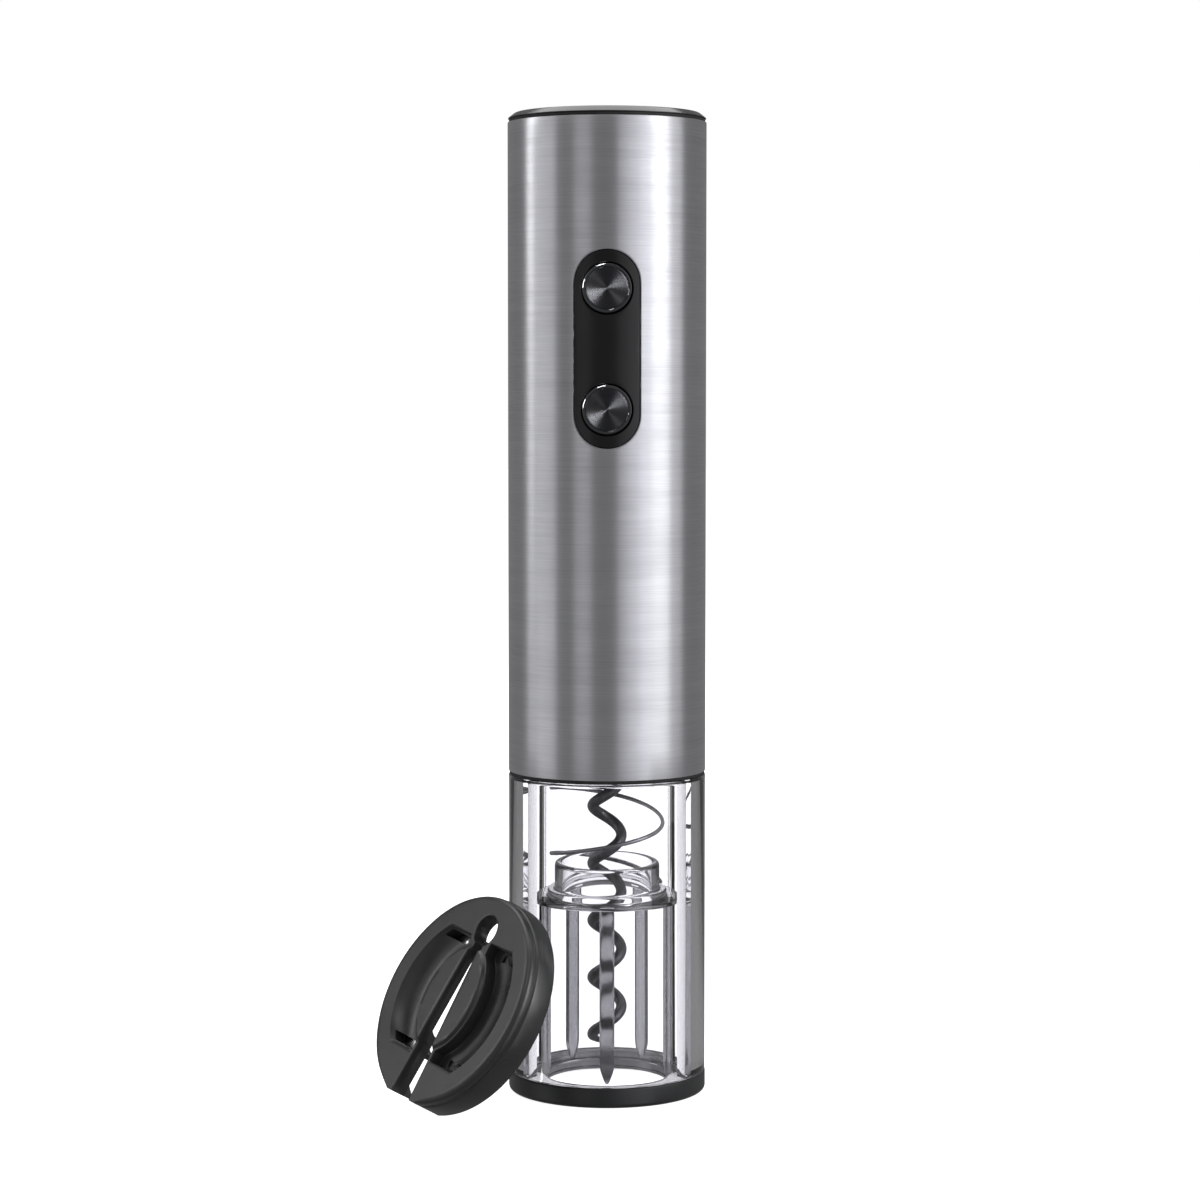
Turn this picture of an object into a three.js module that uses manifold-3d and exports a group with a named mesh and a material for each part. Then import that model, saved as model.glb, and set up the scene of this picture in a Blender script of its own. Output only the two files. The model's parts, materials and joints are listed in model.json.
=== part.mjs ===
// Electric wine opener with its foil cutter, as an assembly of separate pieces.
// Millimetres, +Z up. The origin is the centre of the base ring's flat underside, on the axis of the
// corkscrew, and the buttons face -Y. The foil cutter leans against the clear barrel.
//
// From the bottom: a clear barrel on a black base ring holds the sprung cork guide, which slides up as the
// bottle's neck goes in. Above it a steel sleeve covers a two-part chassis with the gearbox and the motor,
// a cradle for four AA cells, and a bayonet cap. The motor drives the corkscrew through two planetary stages.

import * as THREE from 'three';
import { mergeVertices } from 'three/addons/utils/BufferGeometryUtils.js';
import Module from 'manifold-3d';

const wasm = await Module();
wasm.setup();

// ---------------------------------------------------------------- driving dimensions

const TURN = 2 * Math.PI;
const seat = 0.3; // gap between pieces that are pushed into one another
const slide = 0.35; // gap round a piece that slides or turns
const faceGap = 0.1; // gap between faces that pass over one another
const embed = 0.4; // how far a joined feature reaches into the piece that carries it

const bodyRadius = 24.5; // outside of the steel sleeve and of the clear barrel
const fine = 40; // sides of the large round pieces that show
const coarse = 24; // sides of the large round pieces inside
const small = 12; // sides of pins, bores and shafts

const base = { overhang: 0.1, height: 5.0, wall: 3.2, footChamfer: 0.7 };
const barrel = { wall: 4.2, top: 79.5, floorTop: 4.2, floorThickness: 2.6, spigotHeight: 7, spigotWall: 2.0 };
const rail = { width: 1.6, azimuthFromFront: 63 }; // degrees
const seamRing = { thickness: 0.8, width: 3.0 };

const sleeve = { wall: 0.8, length: 160.1 };

const guide = {
  boreRadius: 11.4, collarRadius: 13.2, collarHeight: 8.0, shoulder: 1.8, shoulderHeight: 1.6,
  flangeRadius: 18.35, flangeThickness: 1.1, flangeUnderside: 47.5, crownRound: 1.9,
};
const leg = { count: 5, width: 3.5, depth: 1.9, taper: 4.0, footGap: 0.5 };
const neckRadius = 14.75; // the bottle's neck passes inside the legs

const guideSpring = { wire: 0.5, pitch: 16.2, leftAt: 58.5, groove: 2.0 };
const worm = { wire: 1.35, radius: 3.62, pitch: 14.13, tip: 10.3, firstLeft: 70.1, helixTop: 79.0, tipLength: 6.0 };

const headFloor = { thickness: 4.0, holeRadius: 6.4 };

const gear = { module: 0.65, sun: 9, planet: 18, ring: 45, pressure: 20 * Math.PI / 180, addendum: 0.7, dedendum: 1.0,
  backlash: 0.2 };
const planetCount = 3;
const gearbox = { wall: 2.1, coverThickness: 2.0, bossHeight: 5.6, carrierThickness: 2.6, carrierMargin: 1.9,
  planetWidth: 5.0, plateThickness: 1.6, pinRadius: 1.5 };
const outputShaft = { radius: 3.0, clearance: 0.08, sides: 24 };
const bushWall = 1.5;

const motor = { radius: 13.85, length: 32, wall: 1.2, shaftRadius: 1.15, bellThickness: 4.0, magnetThickness: 2.0,
  airGap: 0.6, magnetSpan: 120, tailLength: 2.5 };

const chassis = { wall: 1.6, ribThickness: 2.4 };
const chassisScrew = { lower: 130, upper: 160, shankRadius: 1.0, headRadius: 1.9, headHeight: 1.6,
  reach: 6.5, headSeat: 4.6, bossRadius: 2.9 };

const cell = { radius: 7.15, length: 50.2, web: 0.3, setBack: 2.7, nubRadius: 2.7, nubHeight: 1.0 };
const cradle = { wellClearance: 0.3, floorThickness: 1.7 };
const contact = { thickness: 0.5, margin: 1.0, bumpRadius: 2.4, bumpTip: 1.4, bumpHeight: 1.2 };
const contactDisc = { thickness: 2.0 };

const panel = { width: 16.0, height: 47.6, belowTop: 55.8, sunk: 0.35, thickness: 1.55, flange: 1.5 };
const button = { radius: 5.95, proud: 0.4, spread: 29.1, flange: 0.95, flangeThickness: 0.8,
  rim: 1.05, discThickness: 0.5, stemRadius: 1.5, travel: 1.0 };
const switchBody = { width: 6.0, height: 3.5, floor: 0.4 };
const board = { width: 14, margin: 2.4, thickness: 1.2 };

const cap = { inset: 0.1, chamfer: 1.6, thickness: 1.4, skirtInset: 3.2, skirtWall: 1.9, skirtDepth: 4.6,
  dishInset: 5.0, dishDepth: 0.4, gasket: 0.8 };
const lug = { count: 3, span: 14, depth: 1.6, height: 1.6, twist: 30 }; // span and twist in degrees

const cutter = {
  radius: 27.3, thickness: 8.4, plate: 2.2, floor: 4.2, skirtWall: 2.1, lipRadius: 15.2, lipWall: 1.4, lipBottom: 1.4,
  thinRadius: 10.4, slotTop: 1.55, slotBottom: 4.1, keyholeRadius: 4.0, keyholeAt: 18.2,
  gripX: 10.7, gripY: 14.2, gripRise: 0.8, pocketRadius: 21.3, pocketDepth: 3.2, pocketHalf: 15.8, pocketInset: 4.4,
  flatAt: 26.4,
};
const wheel = { radius: 4.2, thickness: 0.6, at: 17.8, pinRadius: 0.9, headRadius: 1.7, azimuth: 42 }; // degrees
const lean = { facing: 217.8, tilt: 29.3, place: 212.9, roll: 7.3, gap: 0.3 }; // angles in degrees

// ---------------------------------------------------------------- levels, from the bottom up

const barrelInner = bodyRadius - barrel.wall;
const sleeveInner = bodyRadius - sleeve.wall;
const chassisRadius = sleeveInner - seat;
const chassisInner = chassisRadius - chassis.wall;
const seamTop = barrel.top + seamRing.thickness;
const sleeveTop = seamTop + sleeve.length;
const headFloorTop = seamTop + headFloor.thickness;
const spigotTop = barrel.top + barrel.spigotHeight;
const guideTop = guide.flangeUnderside + guide.flangeThickness + guide.collarHeight;
const springFoot = guide.flangeUnderside + guide.flangeThickness + guide.shoulderHeight;
const springHead = seamTop + guideSpring.groove;
const springRadius = guide.collarRadius + slide + guideSpring.wire;
const shoulderRadius = guide.collarRadius + guide.shoulder;

const planetOrbit = gear.module * (gear.sun + gear.planet) / 2;
const gearboxRadius = gear.module * (gear.ring / 2 + gear.dedendum) + gearbox.wall;
const carrierRadius = planetOrbit + gearbox.pinRadius + gearbox.carrierMargin;
const shaftBottom = headFloorTop + 0.5;
const bossBottom = shaftBottom + 2.2;
const coverTop = bossBottom + gearbox.bossHeight + gearbox.coverThickness;
const outputDiscBottom = coverTop + seat;
const outputDiscTop = outputDiscBottom + gearbox.carrierThickness;
const secondPlanetTop = outputDiscTop + seat + gearbox.planetWidth;
const firstDiscBottom = secondPlanetTop + 2 * seat;
const firstDiscTop = firstDiscBottom + gearbox.carrierThickness;
const firstPlanetTop = firstDiscTop + seat + gearbox.planetWidth;
const ringTop = firstPlanetTop + 3 * seat;
const plateTop = ringTop + gearbox.plateThickness;
const canTop = plateTop + motor.length;
const bellTop = canTop + motor.bellThickness;

const baseRadius = bodyRadius + base.overhang;
const skirtRadius = chassisRadius - cap.skirtInset;
const discBottom = sleeveTop - cap.skirtDepth - faceGap - contactDisc.thickness;
const upperPlateBottom = discBottom - faceGap - contact.thickness;
const cellTop = upperPlateBottom - contact.bumpHeight - seat / 2;
const cellBottom = cellTop - cell.length;
const plateSeat = cellBottom - seat / 2 - contact.bumpHeight - contact.thickness;
const cradleBottom = plateSeat - cradle.floorThickness;
const cradleTop = upperPlateBottom - seat;
const chassisTop = cradleBottom - seat;
const cellPitch = 2 * (cell.radius + cradle.wellClearance) + cell.web;
const contactWidth = cellPitch - 2 * contact.margin;

const panelCentre = sleeveTop - panel.belowTop;
const panelFace = bodyRadius - panel.sunk;
const panelBack = panelFace - panel.thickness;
const buttonFace = bodyRadius + button.proud;
const buttonFlange = button.radius + button.flange;
const discRadius = button.radius - button.rim;
const flangeFront = Math.sqrt(panelBack ** 2 - buttonFlange ** 2) - faceGap;
const flangeBack = flangeFront - button.flangeThickness;
const switchFront = flangeBack - button.travel - 2 * faceGap;
const boardFront = switchFront - switchBody.height;
const boardBack = boardFront - board.thickness;
const stemBack = boardFront + switchBody.floor + button.travel + faceGap;

// ---------------------------------------------------------------- making and cutting solids

// A closed three.js geometry as a solid that can be joined and cut.
function solid(geometry) {
  const bare = geometry.index ? geometry.toNonIndexed() : geometry.clone();
  bare.deleteAttribute('normal');
  bare.deleteAttribute('uv');
  const merged = mergeVertices(bare, 1e-4);
  return new wasm.Manifold(new wasm.Mesh({
    numProp: 3,
    vertProperties: new Float32Array(merged.getAttribute('position').array),
    triVerts: new Uint32Array(merged.index.array),
  }));
}

// A solid back as a three.js geometry.
function geometryOf(body) {
  const mesh = body.getMesh();
  const made = new THREE.BufferGeometry();
  made.setAttribute('position', new THREE.BufferAttribute(new Float32Array(mesh.vertProperties), 3));
  made.setIndex(new THREE.BufferAttribute(new Uint32Array(mesh.triVerts), 1));
  const flat = made.toNonIndexed();
  flat.computeVertexNormals();
  return flat;
}

// A cylinder about an axis parallel to Z.
function rod(radius, bottom, top, { x = 0, y = 0, sides = coarse, topRadius = radius } = {}) {
  const made = new THREE.CylinderGeometry(topRadius, radius, top - bottom, sides);
  made.rotateX(Math.PI / 2);
  made.translate(x, y, (top + bottom) / 2);
  return solid(made);
}

// A cylinder along Y, from depth front to depth back, where a depth is a distance in front of the axis.
function rodToFront(radius, back, front, { x = 0, z = 0, sides = small } = {}) {
  const made = new THREE.CylinderGeometry(radius, radius, front - back, sides);
  made.translate(x, -(front + back) / 2, z);
  return solid(made);
}

function block(width, depth, height, x, y, z) {
  const made = new THREE.BoxGeometry(width, depth, height);
  made.translate(x, y, z);
  return solid(made);
}

// A solid of revolution about Z. The outline is a list of [radius, z] that goes round the section
// anticlockwise, seen with the radius to the right and z up.
function turned(outline, sides = coarse) {
  const points = outline.map(([radius, z]) => new THREE.Vector2(radius, z));
  if (outline.every(([radius]) => radius > 0)) points.push(points[0].clone());
  const made = new THREE.LatheGeometry(points, sides);
  made.rotateX(Math.PI / 2);
  return solid(made);
}

// A tube wall: a ring between two radii and two heights.
function ringOf(inner, outer, bottom, top, sides = coarse) {
  return turned([[outer, bottom], [outer, top], [inner, top], [inner, bottom]], sides);
}

// A flat outline in XY raised from bottom to top.
function raised(shape, bottom, top, sides = coarse) {
  const made = new THREE.ExtrudeGeometry(shape, { depth: top - bottom, bevelEnabled: false, curveSegments: sides });
  made.translate(0, 0, bottom);
  return solid(made);
}

// A sector of a ring between two angles, in degrees.
function arcOf(inner, outer, from, to, bottom, top, steps = 8) {
  const a = THREE.MathUtils.degToRad(from);
  const b = THREE.MathUtils.degToRad(to);
  const shape = new THREE.Shape();
  shape.absarc(0, 0, outer, a, b, false);
  shape.absarc(0, 0, inner, b, a, true);
  return raised(shape, bottom, top, steps);
}

// An upright slot with round ends, as wide as width, standing in XZ, and running in Y between two depths.
function obround(width, height, centre, back, front) {
  const shape = new THREE.Shape();
  const r = width / 2;
  const half = height / 2 - r;
  shape.absarc(0, half, r, 0, Math.PI, false);
  shape.absarc(0, -half, r, Math.PI, TURN, false);
  const made = new THREE.ExtrudeGeometry(shape, { depth: front - back, bevelEnabled: false, curveSegments: small });
  made.rotateX(Math.PI / 2);
  made.translate(0, -back, centre);
  return solid(made);
}

// A round wire along a curve.
function wireAlong(path, radius, steps, sides = 8) {
  const section = new THREE.Shape();
  for (let i = 0; i < sides; i++) {
    const a = TURN * i / sides;
    section[i ? 'lineTo' : 'moveTo'](radius * Math.cos(a), radius * Math.sin(a));
  }
  return new THREE.ExtrudeGeometry(section, { steps, bevelEnabled: false, extrudePath: path });
}

function turnedAbout(angle, x, y) {
  return [x * Math.cos(angle) - y * Math.sin(angle), x * Math.sin(angle) + y * Math.cos(angle)];
}

// ---------------------------------------------------------------- materials

function material(color, roughness, metalness, extra = {}) {
  return new THREE.MeshStandardMaterial({ color, roughness, metalness, ...extra });
}

const brushedSteel = material(0xb4b5b8, 0.32, 1);
const spunMetal = material(0x3a3c3e, 0.3, 1);
const toolSteel = material(0x4b4c50, 0.35, 1);
const brightSteel = material(0xc6c7ca, 0.25, 1);
const springSteel = material(0x7c7d80, 0.3, 1);
const bronze = material(0xb08a4a, 0.4, 1);
const glossBlack = material(0x0b0c0d, 0.15, 0);
const satinBlack = material(0x1d1f20, 0.45, 0);
const cutterBlack = material(0x2a2c2c, 0.4, 0);
const rubberBlack = material(0x121313, 0.8, 0);
const chassisPlastic = material(0x2c2e33, 0.6, 0);
const whitePlastic = material(0xdcdcd6, 0.5, 0);
const clearPlastic = material(0xf2f5f8, 0.05, 0, { transparent: true, opacity: 0.35 });
const boardGreen = material(0x1c5a35, 0.5, 0);
const cellSkin = material(0x24507a, 0.35, 0.2);
const contactMetal = material(0xc9b27a, 0.35, 1);
const magnetGrey = material(0x35363a, 0.7, 0);
const windingCopper = material(0x9a5a34, 0.4, 1);

const opener = new THREE.Group();

function add(name, body, finish, group = opener) {
  const mesh = new THREE.Mesh(body.isBufferGeometry ? body : geometryOf(body), finish);
  mesh.name = name;
  group.add(mesh);
}

// ---------------------------------------------------------------- clear barrel, its base and its seam

const spigotOuter = sleeveInner - seat;

function clearBarrel() {
  const neck = neckRadius + 0.45;
  const foot = bodyRadius - base.wall;
  let body = turned([
    [neck, barrel.floorTop - barrel.floorThickness],
    [foot, barrel.floorTop - barrel.floorThickness],
    [foot, base.height],
    [bodyRadius, base.height],
    [bodyRadius, barrel.top],
    [spigotOuter, barrel.top],
    [spigotOuter, spigotTop],
    [spigotOuter - barrel.spigotWall, spigotTop],
    [spigotOuter - barrel.spigotWall, barrel.top],
    [barrelInner, barrel.top],
    [barrelInner, barrel.floorTop],
    [neck, barrel.floorTop],
  ], fine);
  const railInner = guide.flangeRadius + slide;
  for (const side of [-1, 1]) {
    for (const front of [-90, 90]) {
      const azimuth = THREE.MathUtils.degToRad(front + side * rail.azimuthFromFront);
      const made = new THREE.BoxGeometry(
        barrelInner + embed - railInner, rail.width, barrel.top - barrel.floorTop + embed);
      made.translate((barrelInner + embed + railInner) / 2, 0, (barrel.top + barrel.floorTop - embed) / 2);
      made.rotateZ(azimuth);
      body = body.add(solid(made));
    }
  }
  return body;
}

function baseRing() {
  const inner = bodyRadius - base.wall + seat;
  return turned([
    [inner, 0],
    [baseRadius - base.footChamfer, 0],
    [baseRadius, base.footChamfer],
    [baseRadius, base.height - faceGap],
    [inner, base.height - faceGap],
  ], fine);
}

add('clear_barrel', clearBarrel(), clearPlastic);
add('base_ring', baseRing(), satinBlack);
add('seam_ring', ringOf(spigotOuter + seat, bodyRadius - 0.15, barrel.top, seamTop, fine), rubberBlack);

// ---------------------------------------------------------------- cork guide and its spring

function corkGuide() {
  const top = guideTop;
  const flangeTop = guide.flangeUnderside + guide.flangeThickness;
  const outline = [
    [guide.boreRadius, guide.flangeUnderside],
    [guide.flangeRadius, guide.flangeUnderside],
    [guide.flangeRadius, flangeTop],
    [shoulderRadius, flangeTop],
    [shoulderRadius, springFoot],
    [guide.collarRadius, springFoot],
  ];
  const roundSteps = 4;
  for (let i = 0; i <= roundSteps; i++) {
    const a = Math.PI / 2 * i / roundSteps;
    outline.push([
      guide.collarRadius - guide.crownRound * (1 - Math.cos(a)) * 0.75,
      top - guide.crownRound * (1 - Math.sin(a)),
    ]);
  }
  outline.push([guide.boreRadius, top]);
  let body = turned(outline, fine);
  for (let i = 0; i < leg.count; i++) body = body.add(guideLeg(-Math.PI / 2 + TURN * i / leg.count));
  return body;
}

// One leg hangs from the flange and ends in a wedge just above the barrel's floor.
function guideLeg(azimuth) {
  const foot = barrel.floorTop + leg.footGap;
  const half = leg.width / 2;
  const shape = new THREE.Shape();
  shape.moveTo(-half, guide.flangeUnderside + embed);
  shape.lineTo(-half, foot + leg.taper);
  shape.lineTo(-half * 0.12, foot);
  shape.lineTo(half * 0.12, foot);
  shape.lineTo(half, foot + leg.taper);
  shape.lineTo(half, guide.flangeUnderside + embed);
  const made = new THREE.ExtrudeGeometry(shape, { depth: leg.depth, bevelEnabled: false });
  made.rotateX(Math.PI / 2);
  made.translate(0, leg.depth, 0);
  made.rotateZ(-Math.PI / 2);
  made.translate(neckRadius, 0, 0);
  made.rotateZ(azimuth);
  return solid(made);
}

// A right-handed helix that climbs from one height to another. It starts at angle start.
class SpringPath extends THREE.Curve {
  constructor(radius, bottom, top, pitch, start) {
    super();
    Object.assign(this, { radius, bottom, top, pitch, start });
  }

  getPoint(t, target = new THREE.Vector3()) {
    const z = this.bottom + (this.top - this.bottom) * t;
    const a = this.start + TURN * (z - this.bottom) / this.pitch;
    return target.set(this.radius * Math.cos(a), this.radius * Math.sin(a), z);
  }
}

function springShape() {
  const foot = springFoot + guideSpring.wire + faceGap;
  const head = springHead - guideSpring.wire - faceGap;
  const start = Math.PI - TURN * (guideSpring.leftAt - foot) / guideSpring.pitch;
  const path = new SpringPath(springRadius, foot, head, guideSpring.pitch, start);
  const turns = (head - foot) / guideSpring.pitch;
  return wireAlong(path, guideSpring.wire, Math.ceil(turns * 24), 6);
}

add('cork_guide', corkGuide(), clearPlastic);
add('guide_spring', solid(springShape()), springSteel);

// ---------------------------------------------------------------- corkscrew

// The corkscrew's centre line: a helix, which closes onto the axis above helixTop and runs up into the shaft.
class WormPath extends THREE.Curve {
  constructor(bottom, top) {
    super();
    Object.assign(this, { bottom, top });
  }

  getPoint(t, target = new THREE.Vector3()) {
    const z = this.bottom + (this.top - this.bottom) * t;
    const close = THREE.MathUtils.smoothstep(z, worm.helixTop, shaftBottom - 0.6);
    const radius = worm.radius * (1 - close);
    const a = Math.PI + TURN * (z - worm.firstLeft) / worm.pitch;
    return target.set(radius * Math.cos(a), radius * Math.sin(a), z);
  }
}

function wormShape() {
  const top = shaftBottom + 5;
  const path = new WormPath(worm.tip + worm.tipLength / 2, top);
  const turns = (top - worm.tip) / worm.pitch;
  const wire = solid(wireAlong(path, worm.wire, Math.ceil(turns * 16)));
  const start = path.getPoint(0);
  const along = path.getTangent(0);
  const point = new THREE.ConeGeometry(worm.wire * 0.98, worm.tipLength, 10);
  point.translate(0, worm.tipLength / 2 - embed, 0);
  point.applyQuaternion(new THREE.Quaternion().setFromUnitVectors(new THREE.Vector3(0, 1, 0), along.negate()));
  point.translate(start.x, start.y, start.z);
  return wire.add(solid(point));
}

add('worm', wormShape(), toolSteel);

// ---------------------------------------------------------------- head floor, bush and gearbox

function headFloorDisc() {
  const outer = spigotOuter - barrel.spigotWall - seat;
  const groove = ringOf(springRadius - 2.2 * guideSpring.wire, springRadius + 2.2 * guideSpring.wire,
    seamTop - embed, springHead);
  return ringOf(headFloor.holeRadius, outer, seamTop, headFloorTop).subtract(groove);
}

// Half the angle that a tooth covers at a radius, where it is thick at the pitch circle.
function toothHalfAngle(radius, pitchRadius, thickness) {
  const baseRadius = pitchRadius * Math.cos(gear.pressure);
  const involute = (a) => Math.tan(a) - a;
  const at = Math.acos(Math.min(1, baseRadius / Math.max(radius, baseRadius)));
  return thickness / (2 * pitchRadius) + involute(gear.pressure) - involute(at);
}

// The outline of a toothed wheel between its root and tip radii. The first tooth points along +X.
function toothedOutline(teeth, below, above, thickness, steps = 1) {
  const pitchRadius = gear.module * teeth / 2;
  const root = pitchRadius - below;
  const tip = pitchRadius + above;
  const points = [];
  for (let i = 0; i < teeth; i++) {
    const centre = TURN * i / teeth;
    const flank = [];
    for (let k = 0; k <= steps; k++) {
      const radius = root + (tip - root) * k / steps;
      flank.push([radius, toothHalfAngle(radius, pitchRadius, thickness)]);
    }
    for (const [radius, half] of flank) points.push([radius, centre - half]);
    for (const [radius, half] of flank.reverse()) points.push([radius, centre + half]);
  }
  return points.map(([radius, a]) => new THREE.Vector2(radius * Math.cos(a), radius * Math.sin(a)));
}

const halfPitch = Math.PI * gear.module / 2;
const stub = gear.addendum * gear.module;
const depth = gear.dedendum * gear.module;

function outerGear(teeth, angle, bottom, top, bore, steps) {
  const outline = toothedOutline(teeth, depth, stub, halfPitch - gear.backlash, steps);
  const shape = new THREE.Shape(outline);
  if (bore) shape.holes.push(new THREE.Path().absarc(0, 0, bore, 0, TURN, true));
  const made = new THREE.ExtrudeGeometry(shape, { depth: top - bottom, bevelEnabled: false, curveSegments: 8 });
  made.rotateZ(angle);
  made.translate(0, 0, bottom);
  return made;
}

// The fixed ring gear: a gap between its teeth points along +X.
function ringGear() {
  const space = new THREE.Shape(toothedOutline(gear.ring, stub, depth, halfPitch + gear.backlash));
  return rod(gearboxRadius, coverTop + faceGap, ringTop)
    .subtract(raised(space, coverTop - 1, ringTop + 1));
}

function carrierPins(bottom, top) {
  return Array.from({ length: planetCount }, (_, i) => {
    const [x, y] = turnedAbout(TURN * i / planetCount, planetOrbit, 0);
    return rod(gearbox.pinRadius, bottom, top, { x, y, sides: small });
  });
}

function outputCarrier() {
  let body = rod(carrierRadius, outputDiscBottom, outputDiscTop)
    .add(rod(outputShaft.radius, shaftBottom, outputDiscBottom + embed, { sides: outputShaft.sides }));
  for (const pin of carrierPins(outputDiscTop - embed, secondPlanetTop)) body = body.add(pin);
  return body.subtract(rod(worm.wire + seat, shaftBottom - 1, shaftBottom + 5.6, { sides: small }));
}

function firstCarrier() {
  const sunAngle = Math.PI / gear.sun;
  let body = rod(carrierRadius, firstDiscBottom, firstDiscTop)
    .add(solid(outerGear(gear.sun, sunAngle, outputDiscTop + 2 * seat, firstDiscBottom + embed, 0, 2)));
  for (const pin of carrierPins(firstDiscTop - embed, firstPlanetTop)) body = body.add(pin);
  return body;
}

function planets(stage, bottom, top) {
  for (let i = 0; i < planetCount; i++) {
    const angle = TURN * i / planetCount;
    const made = outerGear(gear.planet, angle, bottom, top, gearbox.pinRadius + faceGap, 1);
    const [x, y] = turnedAbout(angle, planetOrbit, 0);
    made.translate(x, y, 0);
    add(`${stage}_planet_${i + 1}`, solid(made), brightSteel);
  }
}

function gearboxCover() {
  const bushOuter = outputShaft.radius + bushWall + faceGap;
  return turned([
    [bushOuter + seat, bossBottom],
    [bushOuter + seat + 1.4, bossBottom],
    [bushOuter + seat + 1.4, coverTop - gearbox.coverThickness],
    [gearboxRadius, coverTop - gearbox.coverThickness],
    [gearboxRadius, coverTop],
    [bushOuter + seat, coverTop],
  ]);
}

const bushRadius = outputShaft.radius + bushWall;

add('head_floor', headFloorDisc(), satinBlack);
add('output_bush', ringOf(outputShaft.radius + outputShaft.clearance, bushRadius, bossBottom + faceGap, coverTop,
  outputShaft.sides), bronze);
add('gearbox_cover', gearboxCover(), chassisPlastic);
add('ring_gear', ringGear(), chassisPlastic);
add('output_carrier', outputCarrier(), brightSteel);
planets('second', outputDiscTop + seat, secondPlanetTop);
add('first_carrier', firstCarrier(), brightSteel);
planets('first', firstDiscTop + seat, firstPlanetTop);

// ---------------------------------------------------------------- motor

function motorPlate() {
  return ringOf(6.2, gearboxRadius, ringTop + faceGap, plateTop - faceGap);
}

function motorCan() {
  const inner = motor.radius - motor.wall;
  return turned([
    [motor.shaftRadius + slide, plateTop],
    [motor.radius, plateTop],
    [motor.radius, canTop],
    [inner, canTop],
    [inner, plateTop + motor.wall],
    [motor.shaftRadius + slide, plateTop + motor.wall],
  ]);
}

const magnetOuter = motor.radius - motor.wall - seat;
const magnetInner = magnetOuter - motor.magnetThickness;
const stackBottom = plateTop + 5;
const stackTop = canTop - 5;

// A three-pole armature: a hub with three T-shaped arms.
function armature() {
  const outer = magnetInner - motor.airGap;
  const hub = 3.4;
  let body = rod(hub, stackBottom, stackTop, { sides: small });
  for (let i = 0; i < 3; i++) {
    const azimuth = 120 * i;
    const arm = new THREE.BoxGeometry(outer - 1.4, 3.2, stackTop - stackBottom);
    arm.translate((outer - 1.4) / 2, 0, (stackTop + stackBottom) / 2);
    arm.rotateZ(THREE.MathUtils.degToRad(azimuth));
    body = body.add(solid(arm)).add(arcOf(outer - 2, outer, azimuth - 50, azimuth + 50, stackBottom, stackTop));
  }
  return body.subtract(rod(motor.shaftRadius + seat, stackBottom - 1, stackTop + 1, { sides: small }));
}

function endBell() {
  const inner = motor.radius - motor.wall - seat;
  return turned([
    [motor.shaftRadius + slide, canTop - 2],
    [inner, canTop - 2],
    [inner, canTop + faceGap],
    [motor.radius, canTop + faceGap],
    [motor.radius, bellTop],
    [motor.shaftRadius + slide, bellTop],
  ]);
}

const pinionBottom = firstDiscTop + 2 * seat;

add('motor_plate', motorPlate(), brightSteel);
add('motor_can', motorCan(), brightSteel);
for (const [i, azimuth] of [0, 180].entries()) {
  const half = motor.magnetSpan / 2;
  add(`magnet_${i + 1}`, arcOf(magnetInner, magnetOuter, azimuth - half, azimuth + half, stackBottom, stackTop),
    magnetGrey);
}
add('armature', armature(), windingCopper);
add('motor_shaft', rod(motor.shaftRadius, pinionBottom, bellTop + motor.tailLength, { sides: 16 }), toolSteel);
add('sun_pinion', solid(outerGear(gear.sun, Math.PI / gear.sun, pinionBottom, firstPlanetTop + seat,
  motor.shaftRadius + seat, 2)), brightSteel);
add('motor_end_bell', endBell(), whitePlastic);

// ---------------------------------------------------------------- chassis halves and their screws

const screwSpread = motor.radius + seat + chassisScrew.bossRadius;
const screwPlaces = [-1, 1].flatMap((side) =>
  [chassisScrew.lower, chassisScrew.upper].map((z) => [side * screwSpread, z]));

// Half the chassis: side -1 is the front and 1 the rear. Its ribs hold the gearbox and the motor.
function chassisHalf(side) {
  const bottom = spigotTop + seat;
  let body = ringOf(chassisInner, chassisRadius, bottom, chassisTop);
  const rib = (inner, z) => ringOf(inner + seat, chassisInner + embed, z, z + chassis.ribThickness);
  body = body
    .add(rib(gearboxRadius, coverTop - gearbox.coverThickness))
    .add(rib(gearboxRadius, ringTop - chassis.ribThickness))
    .add(rib(motor.radius, plateTop + 2))
    .add(rib(motor.radius, canTop - chassis.ribThickness));
  const outside = rod(chassisRadius, bottom, chassisTop);
  for (const [x, z] of screwPlaces) {
    const boss = rodToFront(chassisScrew.bossRadius, -chassisRadius, chassisRadius, { x, z });
    body = body.add(boss.intersect(outside));
  }
  for (const [x, z] of screwPlaces) {
    body = body
      .subtract(rodToFront(chassisScrew.shankRadius + seat, -bodyRadius, chassisScrew.reach + 1, { x, z }))
      .subtract(rodToFront(chassisScrew.headRadius + seat, -bodyRadius, -chassisScrew.headSeat, { x, z }));
  }
  const reach = bodyRadius + 1;
  const middle = (bottom + chassisTop) / 2;
  const half = block(2 * reach, reach, chassisTop - bottom + 2, 0, side * (reach / 2 + seat / 2), middle);
  body = body.intersect(half);
  if (side < 0) body = body.subtract(panelRecess());
  return body;
}

function panelRecess() {
  const grow = 2 * (panel.flange + slide);
  return obround(panel.width + grow, panel.height + grow, panelCentre, boardBack - seat,
    bodyRadius + 1);
}

function chassisScrewShape([x, z]) {
  const headTop = -chassisScrew.headSeat - faceGap;
  return rodToFront(chassisScrew.shankRadius, headTop - embed, chassisScrew.reach, { x, z, sides: 12 })
    .add(rodToFront(chassisScrew.headRadius, headTop - chassisScrew.headHeight, headTop, { x, z, sides: 16 }));
}

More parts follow.
